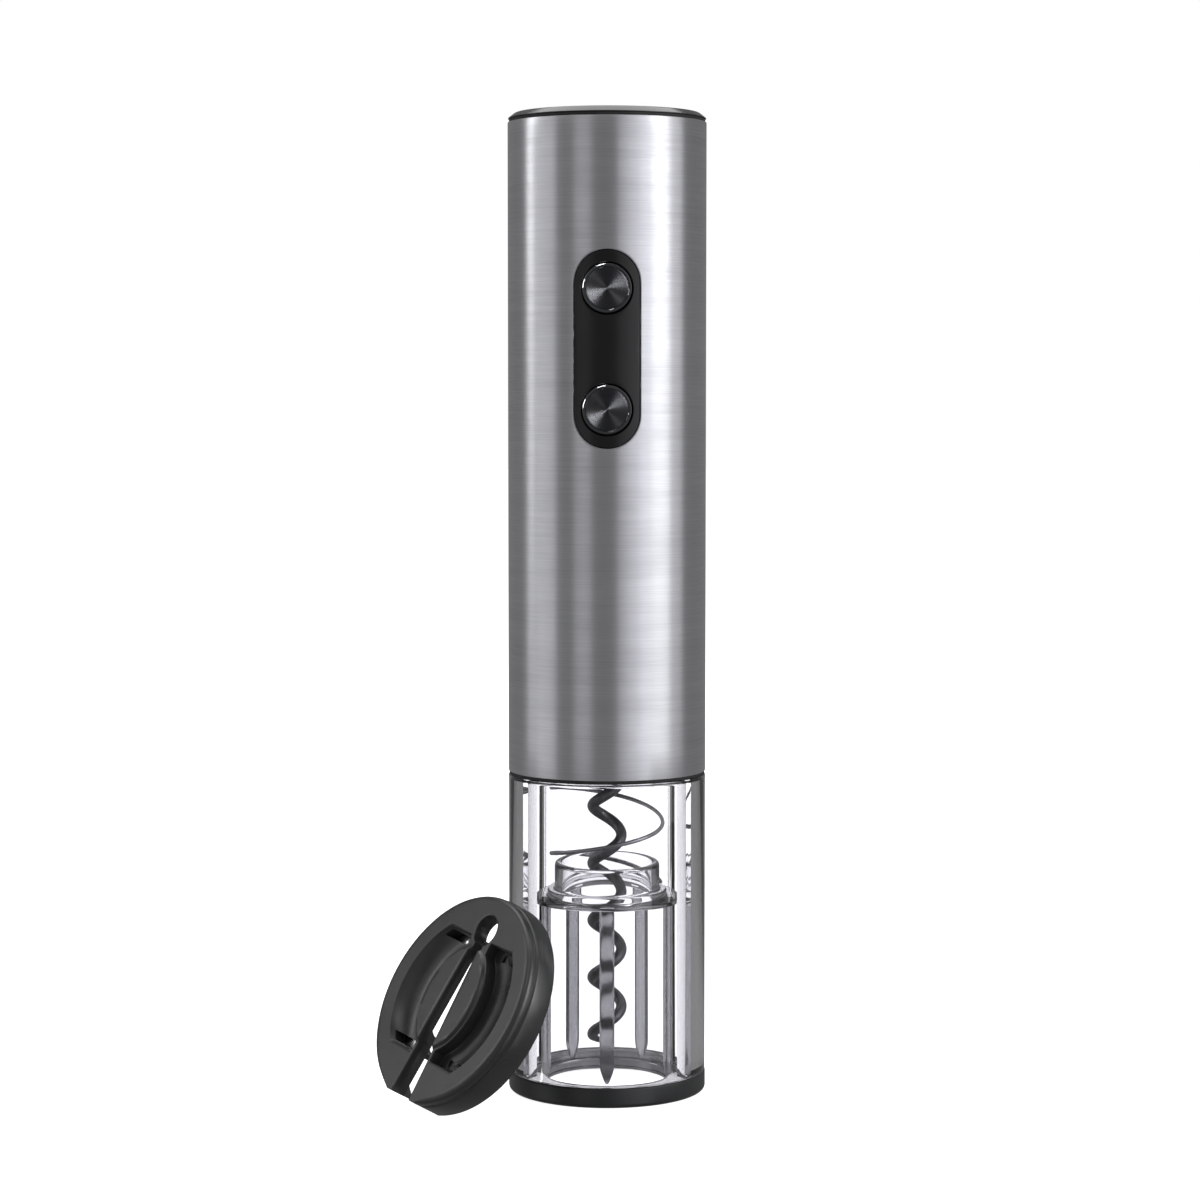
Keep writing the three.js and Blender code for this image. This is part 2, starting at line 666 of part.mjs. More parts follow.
add('front_chassis', chassisHalf(-1), chassisPlastic);
add('rear_chassis', chassisHalf(1), chassisPlastic);
screwPlaces.forEach((place, i) => add(`chassis_screw_${i + 1}`, chassisScrewShape(place), brightSteel));

// ---------------------------------------------------------------- battery cradle, cells and contacts

// The cells stand in series, every second one upside down.
const cellPlaces = [[-1, -1], [1, -1], [1, 1], [-1, 1]].map(([i, j]) => [
  i * cellPitch / 2, j * cellPitch / 2 + cell.setBack]);

function batteryCradle() {
  const a = Math.asin(-(boardBack - seat) / chassisRadius);
  const shape = new THREE.Shape();
  shape.absarc(0, 0, chassisRadius, a, Math.PI - a, false);
  let body = raised(shape, cradleBottom, cradleTop);
  for (const [x, y] of cellPlaces) {
    body = body.subtract(rod(cell.radius + cradle.wellClearance, plateSeat, cradleTop + 1, { x, y, sides: 24 }));
  }
  const pocket = cellPitch + contactWidth + 2 * seat;
  const pocketTop = cellBottom + 0.6;
  return body
    .subtract(block(pocket, pocket, pocketTop - plateSeat, 0, cell.setBack, (pocketTop + plateSeat) / 2))
    .subtract(rod(2.2, cradleBottom - 1, cradleTop + 1, { x: chassisRadius - 4.2, y: cell.setBack, sides: 12 }));
}

function cellShape([x, y], upright) {
  const top = cellBottom + cell.length;
  const shoulder = upright ? [cellBottom, top - cell.nubHeight] : [cellBottom + cell.nubHeight, top];
  const nub = upright ? [top - cell.nubHeight - embed, top] : [cellBottom, cellBottom + cell.nubHeight + embed];
  return rod(cell.radius, ...shoulder, { x, y, sides: 20 }).add(rod(cell.nubRadius, ...nub, { x, y, sides: 12 }));
}

// A flat contact under or over the cells at some places, with a bump for each cell. Contacts below the cells have
// bumps that point up, and contacts above them have bumps that point down.
function cellContact(places, bottom, below) {
  const top = bottom + contact.thickness;
  const xs = places.map(([x]) => x);
  const ys = places.map(([, y]) => y);
  const [left, right] = [Math.min(...xs), Math.max(...xs)];
  const [front, back] = [Math.min(...ys), Math.max(...ys)];
  let body = block(right - left + contactWidth, back - front + contactWidth, contact.thickness,
    (left + right) / 2, (front + back) / 2, (bottom + top) / 2)
    .intersect(rod(skirtRadius, bottom - 1, top + 1));
  for (const [x, y] of places) {
    const bump = below
      ? rod(contact.bumpRadius, top - embed / 2, top + contact.bumpHeight, { x, y, sides: 8, topRadius: contact.bumpTip })
      : rod(contact.bumpTip, bottom - contact.bumpHeight, bottom + embed / 2, { x, y, sides: 8, topRadius: contact.bumpRadius });
    body = body.add(bump);
  }
  return body;
}

add('battery_cradle', batteryCradle(), chassisPlastic);
cellPlaces.forEach((place, i) => add(`battery_${i + 1}`, cellShape(place, i % 2 === 0), cellSkin));
add('lower_bridge_1', cellContact(cellPlaces.slice(0, 2), plateSeat, true), contactMetal);
add('lower_bridge_2', cellContact(cellPlaces.slice(2, 4), plateSeat, true), contactMetal);
add('upper_bridge', cellContact(cellPlaces.slice(1, 3), upperPlateBottom, false), contactMetal);
add('upper_terminal_1', cellContact(cellPlaces.slice(0, 1), upperPlateBottom, false), contactMetal);
add('upper_terminal_2', cellContact(cellPlaces.slice(3, 4), upperPlateBottom, false), contactMetal);
add('contact_disc', rod(skirtRadius, discBottom, discBottom + contactDisc.thickness), whitePlastic);

// ---------------------------------------------------------------- battery cap and its bayonet socket

const lugTop = sleeveTop - 1.6;
const lugBottom = lugTop - lug.height;
const lugOuter = skirtRadius + lug.depth;
const lugAngles = Array.from({ length: lug.count }, (_, i) => 360 * i / lug.count);

function capSocket() {
  const inner = skirtRadius + slide;
  const socketBottom = cradleTop + faceGap;
  const grooveOuter = lugOuter + slide;
  const half = lug.span / 2;
  let body = ringOf(inner, chassisRadius, socketBottom, sleeveTop - faceGap);
  for (const a of lugAngles) {
    body = body
      .subtract(arcOf(inner - 1, grooveOuter, a - half - 2, a + half + lug.twist + 2,
        lugBottom - faceGap, lugTop + faceGap))
      .subtract(arcOf(inner - 1, grooveOuter, a + lug.twist - half - 2, a + lug.twist + half + 2,
        lugBottom, sleeveTop + 1));
  }
  return body;
}

function batteryCap() {
  const underside = sleeveTop + cap.gasket + faceGap;
  const top = underside + cap.thickness;
  const skirtBottom = sleeveTop - cap.skirtDepth;
  const outer = bodyRadius - cap.inset;
  let body = turned([
    [0, underside],
    [skirtRadius - cap.skirtWall, underside],
    [skirtRadius - cap.skirtWall, skirtBottom],
    [skirtRadius, skirtBottom],
    [skirtRadius, underside],
    [outer, underside],
    [outer, underside + 0.25],
    [outer - cap.chamfer, top],
    [bodyRadius - cap.dishInset, top],
    [bodyRadius - cap.dishInset - 0.6, top - cap.dishDepth],
    [0, top - cap.dishDepth],
  ], fine);
  for (const a of lugAngles) {
    body = body.add(arcOf(skirtRadius - embed, lugOuter, a - lug.span / 2, a + lug.span / 2, lugBottom, lugTop, 4));
  }
  return body;
}

add('cap_socket', capSocket(), chassisPlastic);
add('cap_gasket', ringOf(skirtRadius + slide, bodyRadius - 0.3, sleeveTop, sleeveTop + cap.gasket, fine),
  rubberBlack);
add('battery_cap', batteryCap(), glossBlack);

// ---------------------------------------------------------------- steel sleeve, button panel and buttons

const buttonHeights = { upper: panelCentre + button.spread / 2, lower: panelCentre - button.spread / 2 };

function steelSleeve() {
  return ringOf(sleeveInner, bodyRadius, seamTop, sleeveTop, fine)
    .subtract(obround(panel.width + 2 * faceGap, panel.height + 2 * faceGap, panelCentre, 10, bodyRadius + 1));
}

function buttonPanel() {
  const flangeOuter = sleeveInner - faceGap;
  const bottom = panelCentre - panel.height;
  const top = panelCentre + panel.height;
  const grow = 2 * panel.flange;
  const face = obround(panel.width, panel.height, panelCentre, 10, bodyRadius)
    .intersect(ringOf(panelBack, panelFace, bottom, top, fine));
  const flange = obround(panel.width + grow, panel.height + grow, panelCentre, 10, bodyRadius)
    .intersect(ringOf(panelBack, flangeOuter, bottom, top, fine));
  let body = face.add(flange);
  for (const z of Object.values(buttonHeights)) {
    body = body.subtract(rodToFront(button.radius + seat, 10, bodyRadius + 1, { z, sides: 24 }));
  }
  return body;
}

function buttonBody(z) {
  return rodToFront(button.radius, flangeFront - embed, buttonFace, { z, sides: 24 })
    .add(rodToFront(buttonFlange, flangeBack, flangeFront, { z, sides: 24 }))
    .add(rodToFront(button.stemRadius, stemBack, flangeBack + embed, { z }))
    .subtract(rodToFront(discRadius + faceGap, buttonFace - button.discThickness, buttonFace + 1,
      { z, sides: 24 }));
}

function switchShape(z) {
  return block(switchBody.width, switchBody.height, switchBody.width, 0, -(switchFront - switchBody.height / 2), z)
    .subtract(rodToFront(button.stemRadius + slide, boardFront + switchBody.floor, switchFront + 1, { z }));
}

function boardShape() {
  const height = panel.height - 2 * board.margin;
  const middle = -(boardFront + boardBack - faceGap) / 2;
  return block(board.width, board.thickness - faceGap, height, 0, middle, panelCentre);
}

add('outer_sleeve', steelSleeve(), brushedSteel);
add('button_panel', buttonPanel(), glossBlack);
add('button_board', boardShape(), boardGreen);
for (const [which, z] of Object.entries(buttonHeights)) {
  const discBack = buttonFace - button.discThickness;
  add(`${which}_button`, buttonBody(z), glossBlack);
  add(`${which}_button_disc`, rodToFront(discRadius, discBack, buttonFace + faceGap, { z, sides: 24 }),
    spunMetal);
  add(`${which}_switch`, switchShape(z), satinBlack);
}

// ---------------------------------------------------------------- foil cutter

const wheelBottom = cutter.floor - seat - wheel.thickness;
const wheelPlaces = [1, -1].flatMap((side) => [1, -1].map((up) => [
  side * wheel.at * Math.cos(THREE.MathUtils.degToRad(wheel.azimuth)),
  up * wheel.at * Math.sin(THREE.MathUtils.degToRad(wheel.azimuth)),
]));

// The plan of the slot that parts the two grips, wider towards the open end.
function slotPlan() {
  const end = cutter.radius + 2;
  const slope = (cutter.slotBottom - cutter.slotTop) / (cutter.keyholeAt + cutter.radius);
  const lower = cutter.slotBottom + slope * 2;
  return new THREE.Shape([
    new THREE.Vector2(-lower, -end), new THREE.Vector2(lower, -end),
    new THREE.Vector2(cutter.slotTop, cutter.keyholeAt), new THREE.Vector2(-cutter.slotTop, cutter.keyholeAt),
  ]);
}

function gripPlan(grow) {
  return new THREE.Shape().absellipse(0, 0, cutter.gripX + grow, cutter.gripY + grow, 0, TURN, false, 0);
}

// A finger pocket on one side of the slot, between the grip and the outer wall.
function pocketShape(side) {
  const floor = cutter.thickness - cutter.pocketDepth;
  const top = cutter.thickness + 2;
  const width = cutter.radius - cutter.pocketInset;
  const window = block(width, 2 * cutter.pocketHalf, top - floor, side * (cutter.pocketInset + width / 2), 0,
    (floor + top) / 2);
  return rod(cutter.pocketRadius, floor, top, { sides: fine })
    .intersect(window)
    .subtract(raised(gripPlan(0), floor - 1, top + 1, 16));
}

function cutterShell() {
  const { radius, thickness } = cutter;
  const skirtInner = radius - cutter.skirtWall;
  const lipOuter = cutter.lipRadius + cutter.lipWall;
  return turned([
    [0, thickness - cutter.plate],
    [cutter.thinRadius, thickness - cutter.plate],
    [cutter.thinRadius, cutter.floor],
    [cutter.lipRadius, cutter.floor],
    [cutter.lipRadius, cutter.lipBottom],
    [lipOuter, cutter.lipBottom],
    [lipOuter, cutter.floor],
    [skirtInner, cutter.floor],
    [skirtInner, 0],
    [radius, 0],
    [radius, thickness - 2.8],
    [radius - 0.5, thickness - 2.4],
    [radius - 0.5, thickness - 2.1],
    [radius - 0.25, thickness - 1.8],
    [radius - 0.25, thickness - 1.2],
    [radius - 0.6, thickness - 0.45],
    [radius - 1.4, thickness],
    [0, thickness],
  ], fine);
}

function foilCutter() {
  const { thickness } = cutter;
  let body = cutterShell().add(raised(gripPlan(-0.6), thickness - embed, thickness + cutter.gripRise, 16));
  for (const side of [-1, 1]) body = body.subtract(pocketShape(side));
  body = body
    .subtract(raised(slotPlan(), -1, thickness + 2))
    .subtract(rod(cutter.keyholeRadius, -1, thickness + 2, { y: cutter.keyholeAt, sides: 16 }))
    .subtract(block(2 * cutter.radius, cutter.radius, 3 * thickness, 0, -cutter.flatAt - cutter.radius / 2, 0));
  for (const [x, y] of wheelPlaces) {
    const opening = block(4.6, 3.0, cutter.thickness, x * 0.92, y * 1.06, cutter.floor + cutter.thickness / 2 - 0.1);
    body = body
      .subtract(rod(wheel.radius + slide, wheelBottom - slide, cutter.floor, { x, y, sides: 16 }))
      .subtract(opening)
      .add(rod(wheel.pinRadius, wheelBottom - slide, cutter.floor + embed, { x, y, sides: small }))
      .add(rod(wheel.headRadius, wheelBottom - slide - 0.8, wheelBottom - slide, { x, y, sides: small }));
  }
  return body;
}

// The distance from the barrel's axis at which the leaning cutter's rim just meets the barrel: each rim point p
// meets it where |d a + p| is the barrel's radius, and the farthest such d decides.
function leanDistance(frame, aim) {
  const reach = baseRadius + lean.gap;
  let farthest = 0;
  for (let i = 0; i < 360; i++) {
    for (const height of [0, cutter.thickness]) {
      const a = TURN * i / 360;
      const p = new THREE.Vector3(cutter.radius * Math.cos(a), cutter.radius * Math.sin(a), height).applyMatrix4(frame);
      const along = aim.x * p.x + aim.y * p.y;
      const room = along ** 2 - (p.x ** 2 + p.y ** 2) + reach ** 2;
      if (room >= 0) farthest = Math.max(farthest, -along + Math.sqrt(room));
    }
  }
  return farthest;
}

// Where the cutter stands: its tilted shell rests on the ground and its rim meets the barrel.
function leaningPlace(shell) {
  const [facing, tilt, place, roll] = [lean.facing, lean.tilt, lean.place, lean.roll].map(THREE.MathUtils.degToRad);
  const normal = new THREE.Vector3(
    Math.cos(tilt) * Math.cos(facing), Math.cos(tilt) * Math.sin(facing), Math.sin(tilt));
  const right = new THREE.Vector3(-Math.sin(facing), Math.cos(facing), 0);
  const uphill = new THREE.Vector3().crossVectors(normal, right);
  const frame = new THREE.Matrix4().makeBasis(right, uphill, normal).multiply(new THREE.Matrix4().makeRotationZ(-roll));
  const aim = new THREE.Vector3(Math.cos(place), Math.sin(place), 0);
  const distance = leanDistance(frame, aim);
  const lowest = shell.transform(frame.elements).boundingBox().min[2];
  return new THREE.Matrix4().makeTranslation(aim.x * distance, aim.y * distance, -lowest).multiply(frame);
}

const cutterBody = foilCutter();
const cutterGroup = new THREE.Group();
leaningPlace(cutterBody).decompose(cutterGroup.position, cutterGroup.quaternion, cutterGroup.scale);
opener.add(cutterGroup);

add('foil_cutter', cutterBody, cutterBlack, cutterGroup);
wheelPlaces.forEach(([x, y], i) => {
  const bore = wheel.pinRadius + 0.08;
  const made = turned([
    [bore, wheelBottom],
    [wheel.radius - 0.9, wheelBottom],
    [wheel.radius, wheelBottom + wheel.thickness / 2],
    [wheel.radius - 0.9, wheelBottom + wheel.thickness],
    [bore, wheelBottom + wheel.thickness],
  ], small);
  const placed = geometryOf(made);
  placed.translate(x, y, 0);
  add(`cutting_wheel_${i + 1}`, placed, brightSteel, cutterGroup);
});

export default opener;
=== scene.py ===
import json
import logging
import math
from dataclasses import dataclass, field
from enum import Enum

import bmesh
import bpy
import numpy as np
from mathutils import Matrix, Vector


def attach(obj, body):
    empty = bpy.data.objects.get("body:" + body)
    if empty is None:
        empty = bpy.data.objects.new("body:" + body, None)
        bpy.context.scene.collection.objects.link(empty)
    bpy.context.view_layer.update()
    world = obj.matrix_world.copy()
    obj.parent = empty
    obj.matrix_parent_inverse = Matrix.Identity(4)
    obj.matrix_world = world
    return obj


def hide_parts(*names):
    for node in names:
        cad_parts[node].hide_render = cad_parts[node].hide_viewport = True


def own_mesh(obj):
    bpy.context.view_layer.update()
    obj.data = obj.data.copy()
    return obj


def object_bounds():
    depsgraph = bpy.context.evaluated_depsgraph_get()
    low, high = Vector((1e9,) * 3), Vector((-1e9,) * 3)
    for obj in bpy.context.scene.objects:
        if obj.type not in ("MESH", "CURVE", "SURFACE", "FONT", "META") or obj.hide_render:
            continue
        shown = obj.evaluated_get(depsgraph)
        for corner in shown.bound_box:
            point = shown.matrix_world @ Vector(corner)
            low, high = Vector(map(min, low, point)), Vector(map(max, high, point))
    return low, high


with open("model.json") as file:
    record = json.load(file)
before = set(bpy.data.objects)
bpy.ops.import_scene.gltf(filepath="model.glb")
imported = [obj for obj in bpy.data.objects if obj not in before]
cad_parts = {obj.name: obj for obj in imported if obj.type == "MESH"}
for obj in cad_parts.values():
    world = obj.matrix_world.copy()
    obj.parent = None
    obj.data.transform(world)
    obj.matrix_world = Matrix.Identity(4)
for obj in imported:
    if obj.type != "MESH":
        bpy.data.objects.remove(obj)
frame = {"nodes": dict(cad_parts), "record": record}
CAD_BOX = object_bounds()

LOG = logging.getLogger("wine_opener")
TAU = 2 * math.pi
MM = 0.001
MERGE = 2e-7


# ------------------------------------------------------------------ surfaces worked out with numpy

def grid_faces(rows: int, cols: int, wrap_rows: bool = False, wrap_cols: bool = False) -> np.ndarray:
    """Quads of a grid numbered row by row.

    Args:
        rows: number of rows of points.
        cols: number of points in each row.
        wrap_rows: whether the last row joins the first.
        wrap_cols: whether the last column joins the first.

    Returns:
        An array of four point numbers for each quad.
    """
    i, j = np.meshgrid(np.arange(rows - (not wrap_rows)), np.arange(cols - (not wrap_cols)), indexing="ij")
    i2, j2 = (i + 1) % rows, (j + 1) % cols
    return np.stack([i * cols + j, i * cols + j2, i2 * cols + j2, i2 * cols + j], axis=-1).reshape(-1, 4)


def grid_uv(u: np.ndarray, v: np.ndarray, wrap_rows: bool = False, wrap_cols: bool = False) -> np.ndarray:
    """Corner coordinates of the quads of grid_faces: u goes with the row and v with the column.

    Args:
        u: one value for each row, with one more where the rows wrap.
        v: one value for each column, with one more where the columns wrap.
        wrap_rows: not used.
        wrap_cols: not used.

    Returns:
        An array of quads, corners and two coordinates.
    """
    rows, cols = len(u) - 1, len(v) - 1
    i, j = np.meshgrid(np.arange(rows), np.arange(cols), indexing="ij")
    corners = [(0, 0), (0, 1), (1, 1), (1, 0)]
    return np.stack([np.stack([u[i + a], v[j + b]], axis=-1) for a, b in corners], axis=-2).reshape(-1, 4, 2)


def rounded(points: list[tuple[float, float]], radii: float | list[float], steps: int = 5) -> np.ndarray:
    """A closed outline with every corner eased: each corner becomes a parabola that starts and ends
    on its two sides, at the radius or just under half of the shorter side.

    Args:
        points: the corners in order.
        radii: one radius for all, or one for each corner.
        steps: points on each eased corner.

    Returns:
        The outline's points in order.
    """
    corner = np.array(points, float)
    before, after = np.roll(corner, 1, axis=0) - corner, np.roll(corner, -1, axis=0) - corner
    long_before, long_after = np.linalg.norm(before, axis=1), np.linalg.norm(after, axis=1)
    reach = np.minimum(np.broadcast_to(radii, len(corner)), 0.48 * np.minimum(long_before, long_after))
    start = corner + before * (reach / long_before)[:, None]
    end = corner + after * (reach / long_after)[:, None]
    t = np.linspace(0, 1, steps)[None, :, None]
    curve = (1 - t) ** 2 * start[:, None] + 2 * t * (1 - t) * corner[:, None] + t ** 2 * end[:, None]
    return curve.reshape(-1, 2)


def smoothstep(x: np.ndarray, low: float, high: float) -> np.ndarray:
    """Goes from 0 at low to 1 at high with level ends: t squared times (3 - 2t)."""
    t = np.clip((x - low) / (high - low), 0, 1)
    return t * t * (3 - 2 * t)


def between(first: np.ndarray, last: np.ndarray, count: int) -> np.ndarray:
    """Even columns between two columns of distances, without the two.

    Args:
        first: the distances on one side.
        last: the distances on the other side.
        count: how many columns.

    Returns:
        One row for each distance.
    """
    return first[:, None] + (last - first)[:, None] * np.linspace(0, 1, count + 2)[None, 1:-1]


def close_to(column: np.ndarray, offsets: np.ndarray | tuple[float, ...]) -> np.ndarray:
    """Columns at fixed offsets from a column of distances.

    Args:
        column: the distances.
        offsets: how far each new column is from them.

    Returns:
        One row for each distance.
    """
    return column[:, None] + np.array(offsets)[None, :]


class Solid:
    """Points, quads and corner coordinates gathered from several surfaces, in millimetres."""

    def __init__(self) -> None:
        """Starts with nothing in it."""
        self.points: list[np.ndarray] = []
        self.faces: list[np.ndarray] = []
        self.corners: list[np.ndarray] = []
        self.count = 0

    def add(self, points: np.ndarray, faces: np.ndarray, corners: np.ndarray | None = None) -> "Solid":
        """Adds one surface.

        Args:
            points: its points, three values each.
            faces: its quads.
            corners: its corner coordinates, or none.

        Returns:
            The same solid.
        """
        self.points.append(points.reshape(-1, 3))
        self.faces.append(faces + self.count)
        self.corners.append(np.zeros((len(faces), 4, 2)) if corners is None else corners)
        self.count += len(self.points[-1])
        return self

    def revolve(self, outline: np.ndarray, sides: int = 128, closed: bool = True,
                turn: tuple[float, float] = (0.0, TAU), reach: np.ndarray | None = None) -> "Solid":
        """Turns an outline of (radius, height) about Z: a point is (r cos a, r sin a, z). The corner
        coordinates are the length along the outline and the angle times 20 mm.

        Args:
            outline: the outline's points.
            sides: steps of angle.
            closed: whether the outline closes on itself.
            turn: first and last angle; less than a whole turn is left open.
            reach: optional radii for each outline point and angle, in place of the outline's.

        Returns:
            The same solid.
        """
        whole = turn[1] - turn[0] > TAU - 1e-6
        angles = np.linspace(turn[0], turn[1], sides + 1)
        used = angles[:-1] if whole else angles
        r = outline[:, :1] if reach is None else reach
        z = np.broadcast_to(outline[:, 1:], (len(outline), len(used)))
        points = np.stack([r * np.cos(used), r * np.sin(used), z], axis=-1)
        ring = np.vstack([outline, outline[:1]]) if closed else outline
        along = np.concatenate([[0], np.cumsum(np.linalg.norm(np.diff(ring, axis=0), axis=1))])
        return self.add(points, grid_faces(len(outline), len(used), closed, whole),
                        grid_uv(along / 100, angles * 0.2))

    def sweep(self, path: np.ndarray, radius: np.ndarray, sides: int = 18) -> "Solid":
        """Carries a circle along a path: a point is path + r (cos a N + sin a B), where N is the
        direction across the path and level, and B is square to both.

        Args:
            path: the centre line.
            radius: the circle's radius at each point, 0 at both ends to close them.
            sides: points round the circle.

        Returns:
            The same solid.
        """
        along = np.gradient(path, axis=0)
        along /= np.linalg.norm(along, axis=1)[:, None]
        across = np.cross(along, np.array([0.0, 0.0, 1.0]))
        flat = np.linalg.norm(across, axis=1)[:, None]
        across = np.where(flat > 1e-6, across / np.maximum(flat, 1e-6), np.array([[1.0, 0.0, 0.0]]))
        up = np.cross(across, along)
        angles = np.linspace(0, TAU, sides + 1)
        a = angles[:-1][None, :, None]
        circle = np.cos(a) * across[:, None] + np.sin(a) * up[:, None]
        points = path[:, None] + radius[:, None, None] * circle
        length = np.concatenate([[0], np.cumsum(np.linalg.norm(np.diff(path, axis=0), axis=1))])
        return self.add(points, grid_faces(len(path), sides, False, True),
                        grid_uv(length / 100, angles * 0.2))

    def arc(self, outline: np.ndarray, sides: int, turn: tuple[float, float]) -> "Solid":
        """Turns a closed outline through part of a turn, and closes each end with a fan from its middle.

        Args:
            outline: the outline's points.
            sides: steps of angle.
            turn: first and last angle.

        Returns:
            The same solid.
        """
        self.revolve(outline, sides, turn=turn)
        for end in turn:
            r, z = outline[:, 0], outline[:, 1]
            rim = np.stack([r * math.cos(end), r * math.sin(end), z], axis=-1)
            self.add(np.stack([rim, np.broadcast_to(rim.mean(axis=0), rim.shape)]),
                     grid_faces(2, len(outline), False, True))
        return self

    def moved(self, matrix: np.ndarray, origin: tuple[float, float, float]) -> "Solid":
        """Turns every point by a matrix whose rows are the new axes, then adds the origin."""
        self.points = [p @ matrix + np.array(origin, float) for p in self.points]
        return self

    def mesh(self, name: str) -> bpy.types.Mesh:
        """Writes the solid to a mesh in metres, merges its doubles and turns its faces outwards.

        Args:
            name: the mesh's name.

        Returns:
            The mesh.
        """
        points, faces = np.vstack(self.points) * MM, np.vstack(self.faces)
        mesh = bpy.data.meshes.new(name)
        mesh.vertices.add(len(points))
        mesh.vertices.foreach_set("co", points.ravel())
        mesh.loops.add(faces.size)
        mesh.loops.foreach_set("vertex_index", faces.ravel().astype(np.int32))
        mesh.polygons.add(len(faces))
        mesh.polygons.foreach_set("loop_start", np.arange(0, faces.size, 4, dtype=np.int32))
        layer = mesh.uv_layers.new(name="lay")
        layer.data.foreach_set("uv", np.vstack(self.corners).ravel())
        mesh.update(calc_edges=True)
        work = bmesh.new()
        work.from_mesh(mesh)
        bmesh.ops.remove_doubles(work, verts=work.verts, dist=MERGE)
        bmesh.ops.dissolve_degenerate(work, dist=MERGE, edges=work.edges)
        bmesh.ops.recalc_face_normals(work, faces=work.faces)
        work.to_mesh(mesh)
        work.free()
        mesh.validate()
        return mesh

    def piece(self, name: str, sharp: float = 32.0) -> bpy.types.Object:
        """Makes the solid a finished object whose edges over the angle in degrees are crisp."""
        return settle(place(name, self.mesh(name)), sharp)


def settle(piece: bpy.types.Object, sharp: float = 32.0) -> bpy.types.Object:
    """Applies the piece's modifiers, shades it smooth and keeps edges over the angle crisp.

    Args:
        piece: the object to finish.
        sharp: the angle in degrees.

    Returns:
        The same object.
    """
    if piece.modifiers:
        bpy.context.view_layer.update()
        held = piece.evaluated_get(bpy.context.evaluated_depsgraph_get())
        piece.data = bpy.data.meshes.new_from_object(held, preserve_all_data_layers=True,
                                                     depsgraph=bpy.context.evaluated_depsgraph_get())
        piece.modifiers.clear()
    piece.data.polygons.foreach_set("use_smooth", np.ones(len(piece.data.polygons), dtype=bool))
    piece.data.set_sharp_from_angle(angle=math.radians(sharp))
    return piece


def give_wall(piece: bpy.types.Object, wall: float, ease: float, segments: int) -> bpy.types.Object:
    """Gives a sheet its wall on the inside, eases the edges over 50 degrees and settles it.

    Args:
        piece: the sheet.
        wall: the wall's thickness in millimetres.
        ease: the width of the eased edges in millimetres.
        segments: how many steps each eased edge has.

    Returns:
        The same object.
    """
    shell = piece.modifiers.new("wall", "SOLIDIFY")
    shell.thickness, shell.offset = wall * MM, -1.0
    bevel = piece.modifiers.new("ease", "BEVEL")
    bevel.width, bevel.segments = ease * MM, segments
    bevel.limit_method, bevel.angle_limit = "ANGLE", math.radians(50)
    return settle(piece, 40)


def place(name: str, mesh: bpy.types.Mesh) -> bpy.types.Object:
    """Puts a mesh in the scene as an object at the origin."""
    piece = bpy.data.objects.new(name, mesh)
    bpy.context.scene.collection.objects.link(piece)
    return piece


# ------------------------------------------------------------------ finishes

Socket = bpy.types.NodeSocket
Colour = tuple[float, float, float]


class Graph:
    """A node tree with short calls that add and join its nodes."""

    def __init__(self, tree: bpy.types.NodeTree) -> None:
        """Keeps the tree."""
        self.tree = tree

    def add(self, kind: str, inputs: dict | None = None, **settings: object) -> bpy.types.Node:
        """Adds a node.

        Args:
            kind: the node's type.
            inputs: for each input's name or number, a socket to join or a plain value.
            settings: properties of the node.

        Returns:
            The node.
        """
        node = self.tree.nodes.new(kind)
        for key, value in settings.items():
            setattr(node, key, value)
        self.feed(node, inputs or {})
        return node

    def feed(self, node: bpy.types.Node, inputs: dict) -> None:
        """Joins sockets to a node's inputs, or sets plain values there.

        Args:
            node: the node.
            inputs: for each input's name or number, a socket to join or a plain value.
        """
        for key, value in inputs.items():
            if isinstance(value, Socket):
                self.tree.links.new(value, node.inputs[key])
            else:
                node.inputs[key].default_value = value

    def group(self, tree: bpy.types.NodeTree, where: Socket, **values: float) -> bpy.types.Node:
        """Adds a node group that reads a coordinate, with its own values."""
        return self.add("ShaderNodeGroup", {"Vector": where, **values}, node_tree=tree)

    def place_in_object(self) -> Socket:
        """Adds a Texture Coordinate node and gives its Object output."""
        return self.add("ShaderNodeTexCoord").outputs["Object"]

    def vector(self, operation: str, first: Socket, second: "Socket | tuple" = (0.0, 0.0, 0.0)) -> Socket:
        """Adds a Vector Math node and gives its vector output."""
        return self.add("ShaderNodeVectorMath", {0: first, 1: second}, operation=operation).outputs[0]

    def math(self, operation: str, first: "Socket | float", second: "Socket | float" = 0.0) -> Socket:
        """Adds a Math node and gives its output."""
        return self.add("ShaderNodeMath", {0: first, 1: second}, operation=operation).outputs[0]

    def spread(self, value: Socket, low: float, high: float, start: float = 0.0, end: float = 1.0) -> Socket:
        """Adds a Map Range node from start-end to low-high and gives its output."""
        inputs = {"Value": value, "From Min": start, "From Max": end, "To Min": low, "To Max": high}
        return self.add("ShaderNodeMapRange", inputs).outputs[0]

    def tint(self, factor: Socket, first: "Socket | Colour", second: "Socket | Colour") -> Socket:
        """Mixes two colours by a factor, each a socket or a plain colour, and gives the output."""
        ends = [c if isinstance(c, Socket) else (*c, 1) for c in (first, second)]
        return self.add("ShaderNodeMix", {0: factor, 6: ends[0], 7: ends[1]}, data_type="RGBA").outputs[2]


